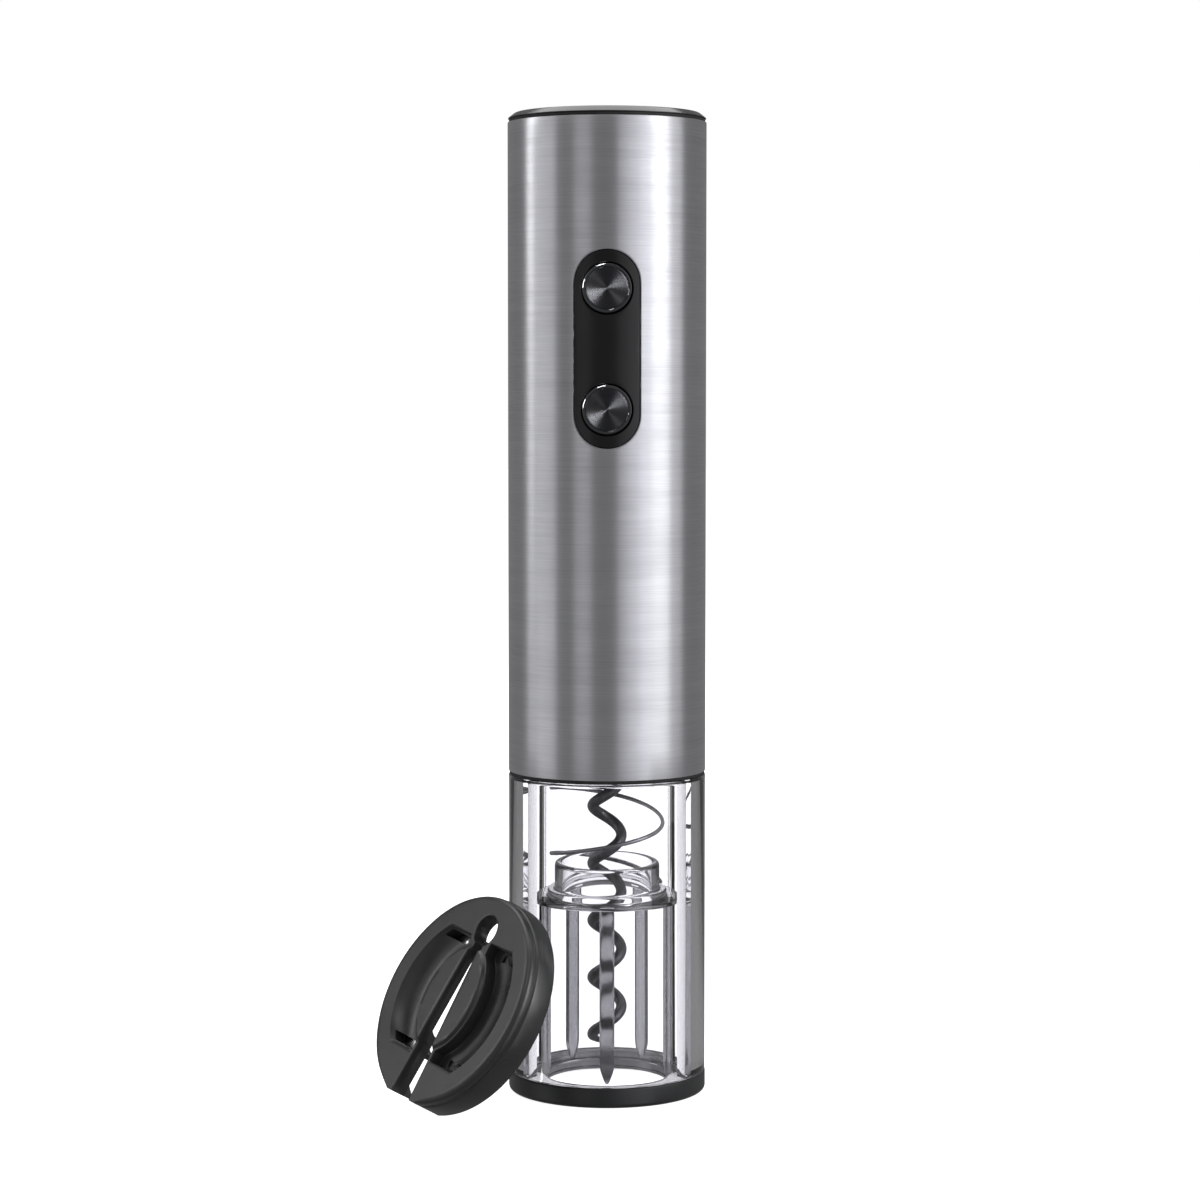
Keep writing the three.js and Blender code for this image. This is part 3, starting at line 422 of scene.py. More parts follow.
def shared_group(name: str, takes: dict[str, float | None],
                 gives: list[str]) -> tuple[Graph, dict[str, Socket], dict[str, Socket]] | None:
    """Starts a shader node group, or gives nothing if the group is there already.

    Args:
        name: the group's name.
        takes: input names with their values, or none for a vector.
        gives: output names.

    Returns:
        The graph, its inputs by name and its outputs by name.
    """
    if name in bpy.data.node_groups:
        return None
    tree = bpy.data.node_groups.new(name, "ShaderNodeTree")
    for key, value in takes.items():
        kind = "NodeSocketVector" if value is None else "NodeSocketFloat"
        made = tree.interface.new_socket(name=key, in_out="INPUT", socket_type=kind)
        if value is not None:
            made.default_value = value
    for key in gives:
        tree.interface.new_socket(name=key, in_out="OUTPUT", socket_type="NodeSocketFloat")
    ins, outs = tree.nodes.new("NodeGroupInput"), tree.nodes.new("NodeGroupOutput")
    return Graph(tree), {s.name: s for s in ins.outputs if s.name}, {s.name: s for s in outs.inputs if s.name}


def hairline_group() -> bpy.types.NodeTree:
    """Brushing: noise stretched along the lay gives long lines, and a second, longer noise gives bands."""
    made = shared_group("hairlines", {"Vector": None, "Along": 60.0, "Across": 5000.0}, ["Lines", "Bands"])
    if made:
        g, ins, outs = made
        scale = g.add("ShaderNodeCombineXYZ", {0: ins["Along"], 1: ins["Along"], 2: ins["Across"]}).outputs[0]
        fine = g.vector("MULTIPLY", ins["Vector"], scale)
        wide = g.vector("MULTIPLY", fine, (0.35, 0.35, 0.06))
        lines = g.add("ShaderNodeTexNoise", {"Vector": fine, "Scale": 1.0, "Detail": 3.0, "Roughness": 0.65})
        bands = g.add("ShaderNodeTexNoise", {"Vector": wide, "Scale": 1.0, "Detail": 2.0})
        g.tree.links.new(lines.outputs[0], outs["Lines"])
        g.tree.links.new(bands.outputs[0], outs["Bands"])
    return bpy.data.node_groups["hairlines"]


def moulded_group() -> bpy.types.NodeTree:
    """Moulded surface: fine spark grain, and slow clouds of gloss as the mould wears."""
    made = shared_group("moulded_grain", {"Vector": None, "Fineness": 4000.0}, ["Grain", "Clouds"])
    if made:
        g, ins, outs = made
        grain = g.add("ShaderNodeTexNoise",
                      {"Vector": ins["Vector"], "Scale": ins["Fineness"], "Detail": 3.0})
        slow = g.math("MULTIPLY", ins["Fineness"], 0.02)
        clouds = g.add("ShaderNodeTexNoise", {"Vector": ins["Vector"], "Scale": slow, "Detail": 4.0})
        g.tree.links.new(grain.outputs[0], outs["Grain"])
        g.tree.links.new(clouds.outputs[0], outs["Clouds"])
    return bpy.data.node_groups["moulded_grain"]


def dust_group() -> bpy.types.NodeTree:
    """Handling: sparse specks from cell distance and thin smears from a stretched noise."""
    made = shared_group("handling", {"Vector": None, "Specks": 0.06}, ["Dust", "Smear"])
    if made:
        g, ins, outs = made
        cells = g.add("ShaderNodeTexVoronoi", {"Vector": ins["Vector"], "Scale": 900.0})
        near = g.math("LESS_THAN", cells.outputs["Distance"], ins["Specks"])
        patch = g.add("ShaderNodeTexNoise", {"Vector": ins["Vector"], "Scale": 45.0, "Detail": 3.0})
        sparse = g.math("MULTIPLY", near, g.spread(patch.outputs[0], 0.0, 1.0, 0.5, 0.62))
        smear = g.add("ShaderNodeTexNoise", {"Vector": ins["Vector"], "Scale": 70.0, "Detail": 5.0,
                                             "Distortion": 1.2}).outputs[0]
        g.tree.links.new(sparse, outs["Dust"])
        g.tree.links.new(g.spread(smear, 0.0, 1.0, 0.42, 0.68), outs["Smear"])
    return bpy.data.node_groups["handling"]


DRESSED: dict[str, bpy.types.Material] = {}
DUST: Colour = (0.45, 0.44, 0.42)


def new_material(name: str) -> tuple[Graph, bpy.types.Node]:
    """Starts a material and keeps it under its name.

    Args:
        name: the finish's name.

    Returns:
        The graph of its nodes and its shader.
    """
    material = DRESSED[name] = bpy.data.materials.new(f"{name}_finish")
    material.use_nodes = True
    return Graph(material.node_tree), material.node_tree.nodes["Principled BSDF"]


class Lay(Enum):
    """Which way a metal's tool marks run."""

    ROUND = "round the tube"
    RINGS = "rings about a centre"
    CAST = "none"


@dataclass(frozen=True)
class Finish:
    """What every finish has: a name, its two colours, and its least and greatest roughness."""

    name: str
    colour: Colour
    worn: Colour
    rough: tuple[float, float]

    def dress(self, g: Graph, shader: bpy.types.Node) -> None:
        """Adds the finish's nodes and joins them to the shader."""
        raise NotImplementedError

    def build(self) -> bpy.types.Material:
        """Makes the material, or gives the one that is there."""
        if self.name not in DRESSED:
            self.dress(*new_material(self.name))
        return DRESSED[self.name]


@dataclass(frozen=True)
class Metal(Finish):
    """A metal surface with tool marks."""

    lay: Lay = Lay.CAST
    directional: float = 0.0
    along: float = 60.0
    across: float = 5000.0
    height: float = 0.000004
    centre: tuple[float, float, float] = (0.0, 0.0, 0.0)

    def line_place(self, g: Graph, where: Socket) -> Socket:
        """Where the tool marks are read: the piece's own place, or for rings a direction from the
        centre with the distance along the outline.

        Args:
            g: the material's graph.
            where: the piece's own place.

        Returns:
            The coordinate.
        """
        if self.lay is not Lay.RINGS:
            return where
        outward = g.add("ShaderNodeSeparateXYZ", {0: g.add("ShaderNodeUVMap", uv_map="lay").outputs[0]})
        heading = g.vector("NORMALIZE", g.vector("SUBTRACT", where, self.centre))
        sides = g.add("ShaderNodeSeparateXYZ", {0: heading})
        small = [g.math("MULTIPLY", sides.outputs[k], 0.02) for k in (0, 2)]
        return g.add("ShaderNodeCombineXYZ", {0: small[0], 1: small[1], 2: outward.outputs[0]}).outputs[0]

    def dress(self, g: Graph, shader: bpy.types.Node) -> None:
        """Marks change the colour, the roughness and the bump; smears of handling add roughness.

        Args:
            g: the material's graph.
            shader: its shader.
        """
        where = g.place_in_object()
        lines = g.group(hairline_group(), self.line_place(g, where), Along=self.along, Across=self.across)
        smear = g.group(dust_group(), where).outputs["Smear"]
        mixed = g.math("ADD", g.math("MULTIPLY", lines.outputs["Lines"], 0.7),
                       g.math("MULTIPLY", lines.outputs["Bands"], 0.3))
        rough = g.spread(mixed, self.rough[1], self.rough[0], 0.3, 0.7)
        bump = g.add("ShaderNodeBump",
                     {"Height": lines.outputs["Lines"], "Distance": self.height, "Strength": 0.6})
        g.feed(shader, {
            "Base Color": g.tint(g.spread(mixed, 0.0, 1.0, 0.32, 0.66), self.worn, self.colour),
            "Roughness": g.math("ADD", rough, g.math("MULTIPLY", smear, 0.03)),
            "Normal": bump.outputs[0], "Metallic": 1.0})
        if self.directional:
            tangent = g.add("ShaderNodeTangent", direction_type="UV_MAP", uv_map="lay")
            g.feed(shader, {"Anisotropic": self.directional, "Tangent": tangent.outputs[0]})


@dataclass(frozen=True)
class Plastic(Finish):
    """A moulded plastic, film, board or rubber surface, with pale painted light inside a radius."""

    fineness: float = 4000.0
    height: float = 0.000006
    dust: float = 0.15
    coat: float = 0.0
    specular: float = 0.5
    # the radius inside which the colour is painted pale, and that pale colour: painted light
    painted_light_radius: float = 0.0
    pale_painted_light: Colour = (0.55, 0.55, 0.57)

    def dress(self, g: Graph, shader: bpy.types.Node) -> None:
        """Grain gives the bump, clouds the colour, and clouds with smears the roughness.

        Args:
            g: the material's graph.
            shader: its shader.
        """
        where = g.place_in_object()
        grain = g.group(moulded_group(), where, Fineness=self.fineness)
        handling = g.group(dust_group(), where)
        body = g.tint(g.spread(grain.outputs["Clouds"], 0.0, 1.0, 0.35, 0.68), self.colour, self.worn)
        specks = g.math("MULTIPLY", handling.outputs["Dust"], self.dust)
        tone = g.tint(specks, body, DUST)
        # painted light: inside the radius the colour turns pale grey, standing in for light inside the barrel
        if self.painted_light_radius:
            flat = g.vector("MULTIPLY", where, (1.0, 1.0, 0.0))
            reach = g.add("ShaderNodeVectorMath", {0: flat}, operation="LENGTH").outputs["Value"]
            inside = g.spread(reach, 1.0, 0.0, self.painted_light_radius - 0.0001, self.painted_light_radius + 0.0001)
            tone = g.tint(inside, tone, self.pale_painted_light)
        mixed = g.math("ADD", g.math("MULTIPLY", grain.outputs["Clouds"], 0.6),
                       g.math("MULTIPLY", handling.outputs["Smear"], 0.4))
        bump = g.add("ShaderNodeBump",
                     {"Height": grain.outputs["Grain"], "Distance": self.height, "Strength": 0.5})
        g.feed(shader, {
            "Base Color": tone, "Normal": bump.outputs[0], "Coat Weight": self.coat, "Coat Roughness": 0.04,
            "Roughness": g.spread(mixed, self.rough[0], self.rough[1], 0.15, 0.75),
            "Specular IOR Level": self.specular})


@dataclass(frozen=True)
class Clear(Finish):
    """A clear moulded plastic, which may be darker and rougher below a height; the darker colour there is
    painted shade.
    """

    bending: float = 1.49
    # deep: the darker colour below the height, painted shade
    deep: Colour = (0.27, 0.27, 0.288)
    painted_shade_below: float = -1.0
    deep_rough: float = 0.2

    def dress(self, g: Graph, shader: bpy.types.Node) -> None:
        """Clouds vary the colour and the bump, smears the roughness, below a height painted shade darkens the
        colour and the roughness rises, and a shadow ray mostly passes.

        Args:
            g: the material's graph.
            shader: its shader.
        """
        where = g.place_in_object()
        clouds = g.group(moulded_group(), where, Fineness=2500.0).outputs["Clouds"]
        smear = g.group(dust_group(), where).outputs["Smear"]
        height = g.add("ShaderNodeSeparateXYZ", {0: where}).outputs[2]
        under = g.spread(height, 1.0, 0.0, self.painted_shade_below - 0.0004, self.painted_shade_below + 0.0004)
        clean, eased = g.spread(smear, *self.rough), g.math("MULTIPLY", under, self.deep_rough)
        bump = g.add("ShaderNodeBump", {"Height": clouds, "Distance": 0.00002, "Strength": 0.25})
        shadow = g.add("ShaderNodeLightPath").outputs["Is Shadow Ray"]
        g.feed(shader, {
            # painted shade: below the height the colour turns to the darker tone, standing in for the shade
            # seen in the clear legs
            "Base Color": g.tint(under, g.tint(clouds, self.colour, self.worn), self.deep),
            "Roughness": g.math("MAXIMUM", clean, eased), "Normal": bump.outputs[0],
            "Alpha": g.spread(shadow, 1.0, 0.12), "Transmission Weight": 1.0, "IOR": self.bending})


FINISHES: dict[str, Finish] = {finish.name: finish for finish in (
    Metal("brushed_steel", (0.665, 0.67, 0.7), (0.55, 0.555, 0.585), (0.31, 0.39), Lay.ROUND, 0.88,
          along=75.0, across=5200.0, height=0.000003),
    Metal("spun_metal", (0.2, 0.205, 0.215), (0.1, 0.103, 0.11), (0.3, 0.42), Lay.RINGS, 0.85,
          along=40.0, across=90.0, height=0.000003),
    Metal("tool_steel", (0.17, 0.17, 0.18), (0.11, 0.11, 0.12), (0.3, 0.45), along=900.0, across=900.0),
    Metal("bright_steel", (0.72, 0.72, 0.74), (0.55, 0.55, 0.57), (0.14, 0.25), along=500.0, across=2500.0),
    Metal("spring_steel", (0.42, 0.42, 0.44), (0.27, 0.27, 0.29), (0.22, 0.35), along=700.0, across=2400.0),
    Metal("bronze", (0.55, 0.4, 0.18), (0.36, 0.25, 0.1), (0.35, 0.5), along=1500.0, across=1500.0),
    Metal("winding", (0.5, 0.22, 0.1), (0.24, 0.1, 0.05), (0.25, 0.42), along=300.0, across=3500.0),
    Metal("contact", (0.72, 0.62, 0.4), (0.52, 0.44, 0.27), (0.2, 0.32), along=400.0, across=2500.0),
    Plastic("gloss_black", (0.002, 0.0023, 0.0024), (0.0034, 0.0037, 0.0038), (0.04, 0.1),
            dust=0.05, height=0.0000006, specular=0.45),
    Plastic("satin_black", (0.014, 0.0155, 0.016), (0.020, 0.0215, 0.022), (0.32, 0.45), dust=0.1),
    Plastic("cutter_black", (0.018, 0.019, 0.0185), (0.026, 0.0275, 0.027), (0.26, 0.38), dust=0.1),
    Plastic("rubber_black", (0.01, 0.01, 0.01), (0.016, 0.016, 0.016), (0.6, 0.78), dust=0.2),
    Plastic("chassis_grey", (0.05, 0.055, 0.06), (0.075, 0.08, 0.086), (0.4, 0.55)),
    Plastic("white_plastic", (0.68, 0.68, 0.64), (0.76, 0.76, 0.73), (0.35, 0.5)),
    Plastic("board", (0.012, 0.11, 0.045), (0.02, 0.15, 0.06), (0.25, 0.4), fineness=1500.0),
    Plastic("cell_skin", (0.02, 0.07, 0.2), (0.03, 0.09, 0.24), (0.15, 0.28), coat=0.4),
    Plastic("magnet", (0.045, 0.045, 0.05), (0.07, 0.07, 0.075), (0.5, 0.7), fineness=2500.0),
    Clear("clear_plastic", (0.895, 0.89, 0.912), (0.87, 0.868, 0.892), (0.014, 0.03)),
)}


# ------------------------------------------------------------------ shared ways of a sub-assembly

@dataclass
class Assembly:
    """What every sub-assembly can do: hand over its finished pieces."""

    made: list[bpy.types.Object] = field(default_factory=list)

    def hand_over(self, piece: bpy.types.Object, body: str, slot: str, *nodes: str,
                  finish: Finish | None = None) -> bpy.types.Object:
        """Dresses a piece, fixes it to its body and hides what it stands for.

        Args:
            piece: the finished object.
            body: the body that it moves with.
            slot: the record's material slot.
            nodes: the CAD nodes it stands for.
            finish: its finish, or none for the slot's own.

        Returns:
            The same object.
        """
        piece.data.materials.clear()
        piece.data.materials.append((finish or FINISHES[slot]).build())
        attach(piece, body)
        if nodes:
            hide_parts(*nodes)
        self.made.append(piece)
        return piece


def facing_front(height: float) -> tuple[np.ndarray, tuple[float, float, float]]:
    """The matrix and origin that turn a solid revolved about Z to face -Y at a height in millimetres."""
    return np.array([[1.0, 0, 0], [0, 0, 1.0], [0, -1.0, 0]]), (0.0, 0.0, height)


# ------------------------------------------------------------------ the opener

@dataclass
class Barrel(Assembly):
    """The clear barrel over the bottle's neck, its black foot ring and the floor under the gearbox."""

    outer: float = 24.5
    inner: float = 20.3
    rail_reach: float = 18.7
    rail_half: float = 0.8
    rail_at: tuple[float, ...] = (-153.0, -27.0, 27.0, 153.0)
    foot_radius: float = 21.3
    neck: float = 15.2
    foot: tuple[float, float] = (1.6, 5.0)
    floor_top: float = 4.2
    top: float = 79.5
    spigot: tuple[float, float] = (21.4, 23.4)
    spigot_top: float = 86.5

    def clear_wall(self) -> bpy.types.Object:
        """The barrel: an outline turned about Z, whose inner radius comes in over each rail by a
        smooth step of the angle from the rail.

        Returns:
            The piece.
        """
        outline = rounded([
            (self.neck, self.foot[0]), (self.foot_radius, self.foot[0]), (self.foot_radius, self.foot[1]),
            (self.outer, self.foot[1]), (self.outer, self.top), (self.spigot[1], self.top),
            (self.spigot[1], self.spigot_top), (self.spigot[0], self.spigot_top), (self.spigot[0], self.top),
            (self.inner, self.top - 1.2), (self.inner, self.floor_top), (self.neck, self.floor_top),
        ], [0.5, 0.4, 0.3, 0.5, 0.4, 0.2, 0.3, 0.3, 0.3, 0.4, 0.9, 0.6])
        inner = (np.abs(outline[:, 0] - self.inner) < 1e-6) & (outline[:, 1] > self.floor_top)
        angles = np.linspace(0, TAU, 480, endpoint=False)
        rails = np.radians(np.array(self.rail_at))
        off = np.abs((angles[:, None] - rails + math.pi) % TAU - math.pi).min(axis=1) * self.inner
        rise = 1 - smoothstep(off, self.rail_half - 0.15, self.rail_half + 0.25)
        radii = outline[:, :1] - inner[:, None] * rise[None, :] * (self.inner - self.rail_reach)
        return Solid().revolve(outline, len(angles), reach=radii).piece("clear_wall")

    def foot_ring(self) -> bpy.types.Object:
        """The foot ring: a rounded band turned about Z.

        Returns:
            The piece.
        """
        outline = rounded([(21.6, 0.35), (22.2, 0.0), (23.9, 0.0), (24.6, 0.7), (24.6, 4.9), (21.6, 4.9)],
                          [0.2, 0.2, 0.5, 0.5, 0.35, 0.2], 7)
        return Solid().revolve(outline, 192).piece("foot_ring")

    def drive_floor(self) -> bpy.types.Object:
        """The floor above the barrel: a stepped disc with a raised boss round the hole.

        Returns:
            The piece.
        """
        outline = rounded([(6.4, 80.3), (9.4, 80.3), (10.0, 81.1), (12.3, 81.1), (12.9, 80.6), (16.0, 80.6),
                           (16.4, 80.3), (21.1, 80.3), (21.1, 84.3), (6.4, 84.3)], 0.3)
        return Solid().revolve(outline, 160).piece("drive_floor")

    def build(self) -> None:
        """Makes the pieces and dresses them."""
        self.hand_over(self.clear_wall(), "opener", "clear_plastic", "clear_barrel")
        # painted light: the foot ring's inner face is painted pale grey to keep the barrel's inside light
        pale_painted_light = Plastic("foot_black", (0.014, 0.0155, 0.016), (0.020, 0.0215, 0.022), (0.32, 0.45), dust=0.1,
                        painted_light_radius=0.0218)
        self.hand_over(self.foot_ring(), "opener", "satin_black", "base_ring", finish=pale_painted_light)
        self.hand_over(self.drive_floor(), "opener", "satin_black", "head_floor")


@dataclass
class CorkDrive(Assembly):
    """The corkscrew, the clear guide that centres it on the cork, and the guide's spring."""

    worm_radius: float = 3.62
    wire: float = 1.35
    pitch: float = 14.13
    phase_at: float = 70.1
    worm_span: tuple[float, float] = (10.3, 89.8)
    point: float = 3.0
    straighten: tuple[float, float] = (79.0, 84.2)
    coil_radius: float = 14.05
    coil_wire: float = 0.5
    coil_pitch: float = 16.2
    coil_at: float = 58.5
    coil_span: tuple[float, float] = (50.8, 81.7)
    leg_at: tuple[float, ...] = (-90.0, -18.0, 54.0, 126.0, 198.0)
    leg_size: tuple[float, float] = (1.9, 3.5)
    leg_inner: float = 14.75
    leg_span: tuple[float, float, float] = (4.7, 8.7, 47.9)

    def worm(self) -> bpy.types.Object:
        """The corkscrew: a circle carried along a helix, angle pi + 2 pi (z - phase) / pitch. Its
        radius closes to the axis at the top, and the wire comes to a cone point at the bottom.

        Returns:
            The piece.
        """
        z = np.linspace(*self.worm_span, 620)
        angle = math.pi + TAU * (z - self.phase_at) / self.pitch
        r = self.worm_radius * (1 - smoothstep(z, *self.straighten))
        path = np.stack([r * np.cos(angle), r * np.sin(angle), z], axis=-1)
        thick = self.wire * np.clip((z - z[0]) / self.point, 0, 1) ** 0.8
        thick[-1] = 0.0
        return Solid().sweep(path, thick, 20).piece("corkscrew", 60)

    def coil(self) -> bpy.types.Object:
        """The guide's spring: a circle carried along a helix, angle pi + 2 pi (z - 58.5) / pitch.

        Returns:
            The piece.
        """
        z = np.linspace(*self.coil_span, 420)
        angle = math.pi + TAU * (z - self.coil_at) / self.coil_pitch
        path = np.stack([self.coil_radius * np.cos(angle), self.coil_radius * np.sin(angle), z], axis=-1)
        thick = np.full(len(z), self.coil_wire)
        thick[[0, -1]] = 0.0
        return Solid().sweep(path, thick, 14).piece("guide_coil", 60)

    def legs(self) -> Solid:
        """Five legs: a rounded rectangle carried down a straight line, narrowing to the tip below
        the taper, and closed to a point at both ends.

        Returns:
            The legs as one solid of five shells.
        """
        deep, wide = self.leg_size[0] / 2, self.leg_size[1] / 2
        section = rounded([(-deep, -wide), (deep, -wide), (deep, wide), (-deep, wide)], 0.55, 4)
        tip, taper, top = self.leg_span
        z = np.array([tip, tip, tip + 0.15, tip + 0.7, taper - 1.2, taper, taper + 1.0, 30.0, top, top])
        width = np.array([0.0, 0.12, 0.22, 0.4, 0.82, 0.97, 1.0, 1.0, 1.0, 0.0])
        depth = np.array([0.0, 0.6, 0.72, 0.85, 1.0, 1.0, 1.0, 1.0, 1.0, 0.0])
        solid = Solid()
        for angle in np.radians(self.leg_at):
            out = self.leg_inner + deep + section[None, :, 0] * depth[:, None]
            across = section[None, :, 1] * width[:, None]
            points = np.stack([out * math.cos(angle) - across * math.sin(angle),
                               out * math.sin(angle) + across * math.cos(angle),
                               np.broadcast_to(z[:, None], out.shape)], axis=-1)
            solid.add(points, grid_faces(len(z), len(section), False, True))
        return solid

    def guide(self) -> bpy.types.Object:
        """The cork guide: a stepped collar turned about Z, joined to its legs.

        Returns:
            The piece.
        """
        outline = rounded([(11.4, 47.5), (18.35, 47.5), (18.35, 48.6), (15.0, 48.6), (15.0, 50.2),
                           (13.2, 50.2), (13.2, 56.6), (11.4, 56.6)],
                          [0.3, 0.4, 0.4, 0.4, 0.4, 0.5, 1.9, 0.5], 6)
        piece = place("guide_shell", Solid().revolve(outline, 160).mesh("guide_shell"))
        legs = place("guide_legs", self.legs().mesh("guide_legs"))
        join = piece.modifiers.new("join", "BOOLEAN")
        join.operation, join.solver, join.object = "UNION", "EXACT", legs
        settle(piece, 40)
        bpy.data.objects.remove(legs)
        return piece

    def build(self) -> None:
        """Makes the pieces, dresses them, and gives the spring its own mesh."""
        self.hand_over(self.worm(), "output_stage", "tool_steel", "worm")
        # painted shade: below 47.2 mm the guide's legs get a darker grey colour, and more roughness
        painted_shade_guide = Clear("clear_plastic_guide", (0.95, 0.95, 0.965), (0.92, 0.92, 0.94), (0.014, 0.03),
                      painted_shade_below=0.0472)
        self.hand_over(self.guide(), "guide", "clear_plastic", "cork_guide", finish=painted_shade_guide)
        coil = self.hand_over(self.coil(), "opener", "spring_steel", "guide_spring")
        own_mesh(coil)


@dataclass
class Sleeve(Assembly):
    """The brushed steel sleeve with its window, and the rings above and below it."""

    outer: float = 24.5
    wall: float = 0.8
    span: tuple[float, float] = (80.3, 240.4)
    window_half: float = 8.1
    window_straight: float = 15.8
    window_at: float = 184.6
    patch: tuple[float, float] = (11.6, 29.0)
    side: tuple[int, int] = (24, 56)
    corner: int = 8

    def window_edge(self) -> np.ndarray:
        """The window's outline from its lower left, anticlockwise: arcs of 45 degrees and straight
        lines, with as many points as the patch round it."""
        across, up = self.side
        arc = np.radians(np.concatenate([
            np.linspace(-135, -45, across, endpoint=False), np.linspace(-45, 0, self.corner, endpoint=False),
            np.zeros(up - 2 * self.corner), np.linspace(0, 45, self.corner, endpoint=False),
            np.linspace(45, 135, across, endpoint=False), np.linspace(135, 180, self.corner, endpoint=False),
            np.full(up - 2 * self.corner, 180.0), np.linspace(180, 225, self.corner, endpoint=False)]))
        line = np.linspace(-1, 1, up - 2 * self.corner, endpoint=False)
        lift = np.concatenate([np.full(across + self.corner, -1.0), line,
                               np.ones(self.corner + across + self.corner), -line,
                               np.full(self.corner, -1.0)])
        return np.stack([self.window_half * np.cos(arc),
                         self.window_half * np.sin(arc) + lift * self.window_straight], axis=-1)

    def patch_edge(self) -> np.ndarray:
        """The rectangle round the window from its lower left, anticlockwise, in angle and height."""
        across, up = self.side
        half, tall = math.asin(self.patch[0] / self.outer), self.patch[1]
        h, v = np.linspace(-half, half, across, endpoint=False), np.linspace(-tall, tall, up, endpoint=False)
        flat, steep = np.ones(across), np.ones(up)
        return np.stack([np.concatenate([h, half * steep, -h, -half * steep]),
                         np.concatenate([-tall * flat, v, tall * flat, -v])], axis=-1)

    def sheet(self, solid: Solid, angle: np.ndarray, z: np.ndarray, wrap: bool = False) -> None:
        """Adds a piece of the tube: (R sin a, -R cos a, z) over a grid of angle and height.

        Args:
            solid: where it goes.
            angle: the angle at each grid point, from -Y towards +X.
            z: the height at each grid point.
            wrap: whether the columns close.
        """
        points = np.stack([self.outer * np.sin(angle), -self.outer * np.cos(angle), z], axis=-1)
        faces = grid_faces(*angle.shape, False, wrap)
        lay = np.stack([z / 100, angle * 0.2], axis=-1).reshape(-1, 2)
        solid.add(points, faces, lay[faces])

    def tube(self) -> bpy.types.Object:
        """The sleeve: a tube in four sheets, of which the one round the window runs from the
        window's edge out to a rectangle, then given its wall and eased edges.

        Returns:
            The piece.
        """
        solid, (across, up) = Solid(), self.side
        edge, frame_edge = self.window_edge(), self.patch_edge()
        edge = np.stack([np.arcsin(edge[:, 0] / self.outer), edge[:, 1]], axis=-1)
        s = np.linspace(0, 1, 9)[:, None, None] ** 1.3
        ring = edge * (1 - s) + frame_edge * s
        self.sheet(solid, ring[..., 0], ring[..., 1] + self.window_at, True)
        half = math.asin(self.patch[0] / self.outer)
        low, high = self.window_at - self.patch[1], self.window_at + self.patch[1]
        below, above = np.linspace(self.span[0], low, 12), np.linspace(high, self.span[1], 6)
        rows = np.concatenate([below[:-1], np.linspace(low, high, up + 1), above[1:]])
        for angles, heights in ((np.linspace(half, TAU - half, 200), rows),
                                (np.linspace(-half, half, across + 1), below),
                                (np.linspace(-half, half, across + 1), above)):
            z, a = np.meshgrid(heights, angles, indexing="ij")
            self.sheet(solid, a, z)
        return give_wall(place("steel_sleeve", solid.mesh("steel_sleeve")), self.wall, 0.18, 2)

    def ring(self, name: str, corners: list[tuple[float, float]], ease: float) -> bpy.types.Object:
        """A rounded ring turned about Z.

        Args:
            name: the piece's name.
            corners: the outline's corners.
            ease: the corners' radius.

        Returns:
            The piece.
        """
        return Solid().revolve(rounded(corners, ease), 192).piece(name)

    def build(self) -> None:
        """Makes the pieces and dresses them."""
        self.hand_over(self.tube(), "opener", "brushed_steel", "outer_sleeve")
        seam = self.ring("seam_band", [(23.45, 79.55), (24.3, 79.55), (24.3, 80.28), (23.45, 80.28)], 0.15)
        self.hand_over(seam, "opener", "rubber_black", "seam_ring")
        gasket = self.ring("cap_seal", [(20.55, 240.4), (24.15, 240.4), (24.15, 241.2), (20.55, 241.2)], 0.15)
        self.hand_over(gasket, "opener", "rubber_black", "cap_gasket")


@dataclass
class Cap(Assembly):
    """The battery cap on top."""

    lug_at: tuple[float, ...] = (30.0, 150.0, 270.0)
    lug_half: float = 0.16

    def lid(self) -> bpy.types.Object:
        """The cap: an outline with a broad chamfer and a shallow dish turned about Z, with three
        lugs on its skirt.

        Returns:
            The piece.
        """
        outline = rounded([(18.3, 240.6), (18.3, 235.8), (20.2, 235.8), (20.2, 241.25), (24.4, 241.25),
                           (24.4, 241.42), (22.75, 242.7), (19.5, 242.7), (18.9, 242.35)],
                          [0.3, 0.3, 0.3, 0.2, 0.08, 0.12, 0.4, 0.3, 0.3], 6)
        dish = np.stack([np.linspace(18.0, 0.0, 14), np.full(14, 242.33)], axis=-1)
        under = np.stack([np.linspace(0.0, 17.9, 10), np.full(10, 240.9)], axis=-1)
        solid = Solid().revolve(np.vstack([under, outline, dish]), 192, closed=False)
        lug = rounded([(19.9, 236.4), (20.75, 236.4), (20.75, 237.9), (19.9, 237.9)], 0.15)
        for middle in np.radians(self.lug_at):
            solid.arc(lug, 16, (middle - self.lug_half, middle + self.lug_half))
        return solid.piece("cap_lid")

    def build(self) -> None:
        """Makes the piece and dresses it."""
        eased = Plastic("cap_black", (0.016, 0.017, 0.018), (0.024, 0.0255, 0.0265), (0.16, 0.26), dust=0.1,
                        height=0.000002, specular=0.8)
        self.hand_over(self.lid(), "cap", "gloss_black", "battery_cap", finish=eased)


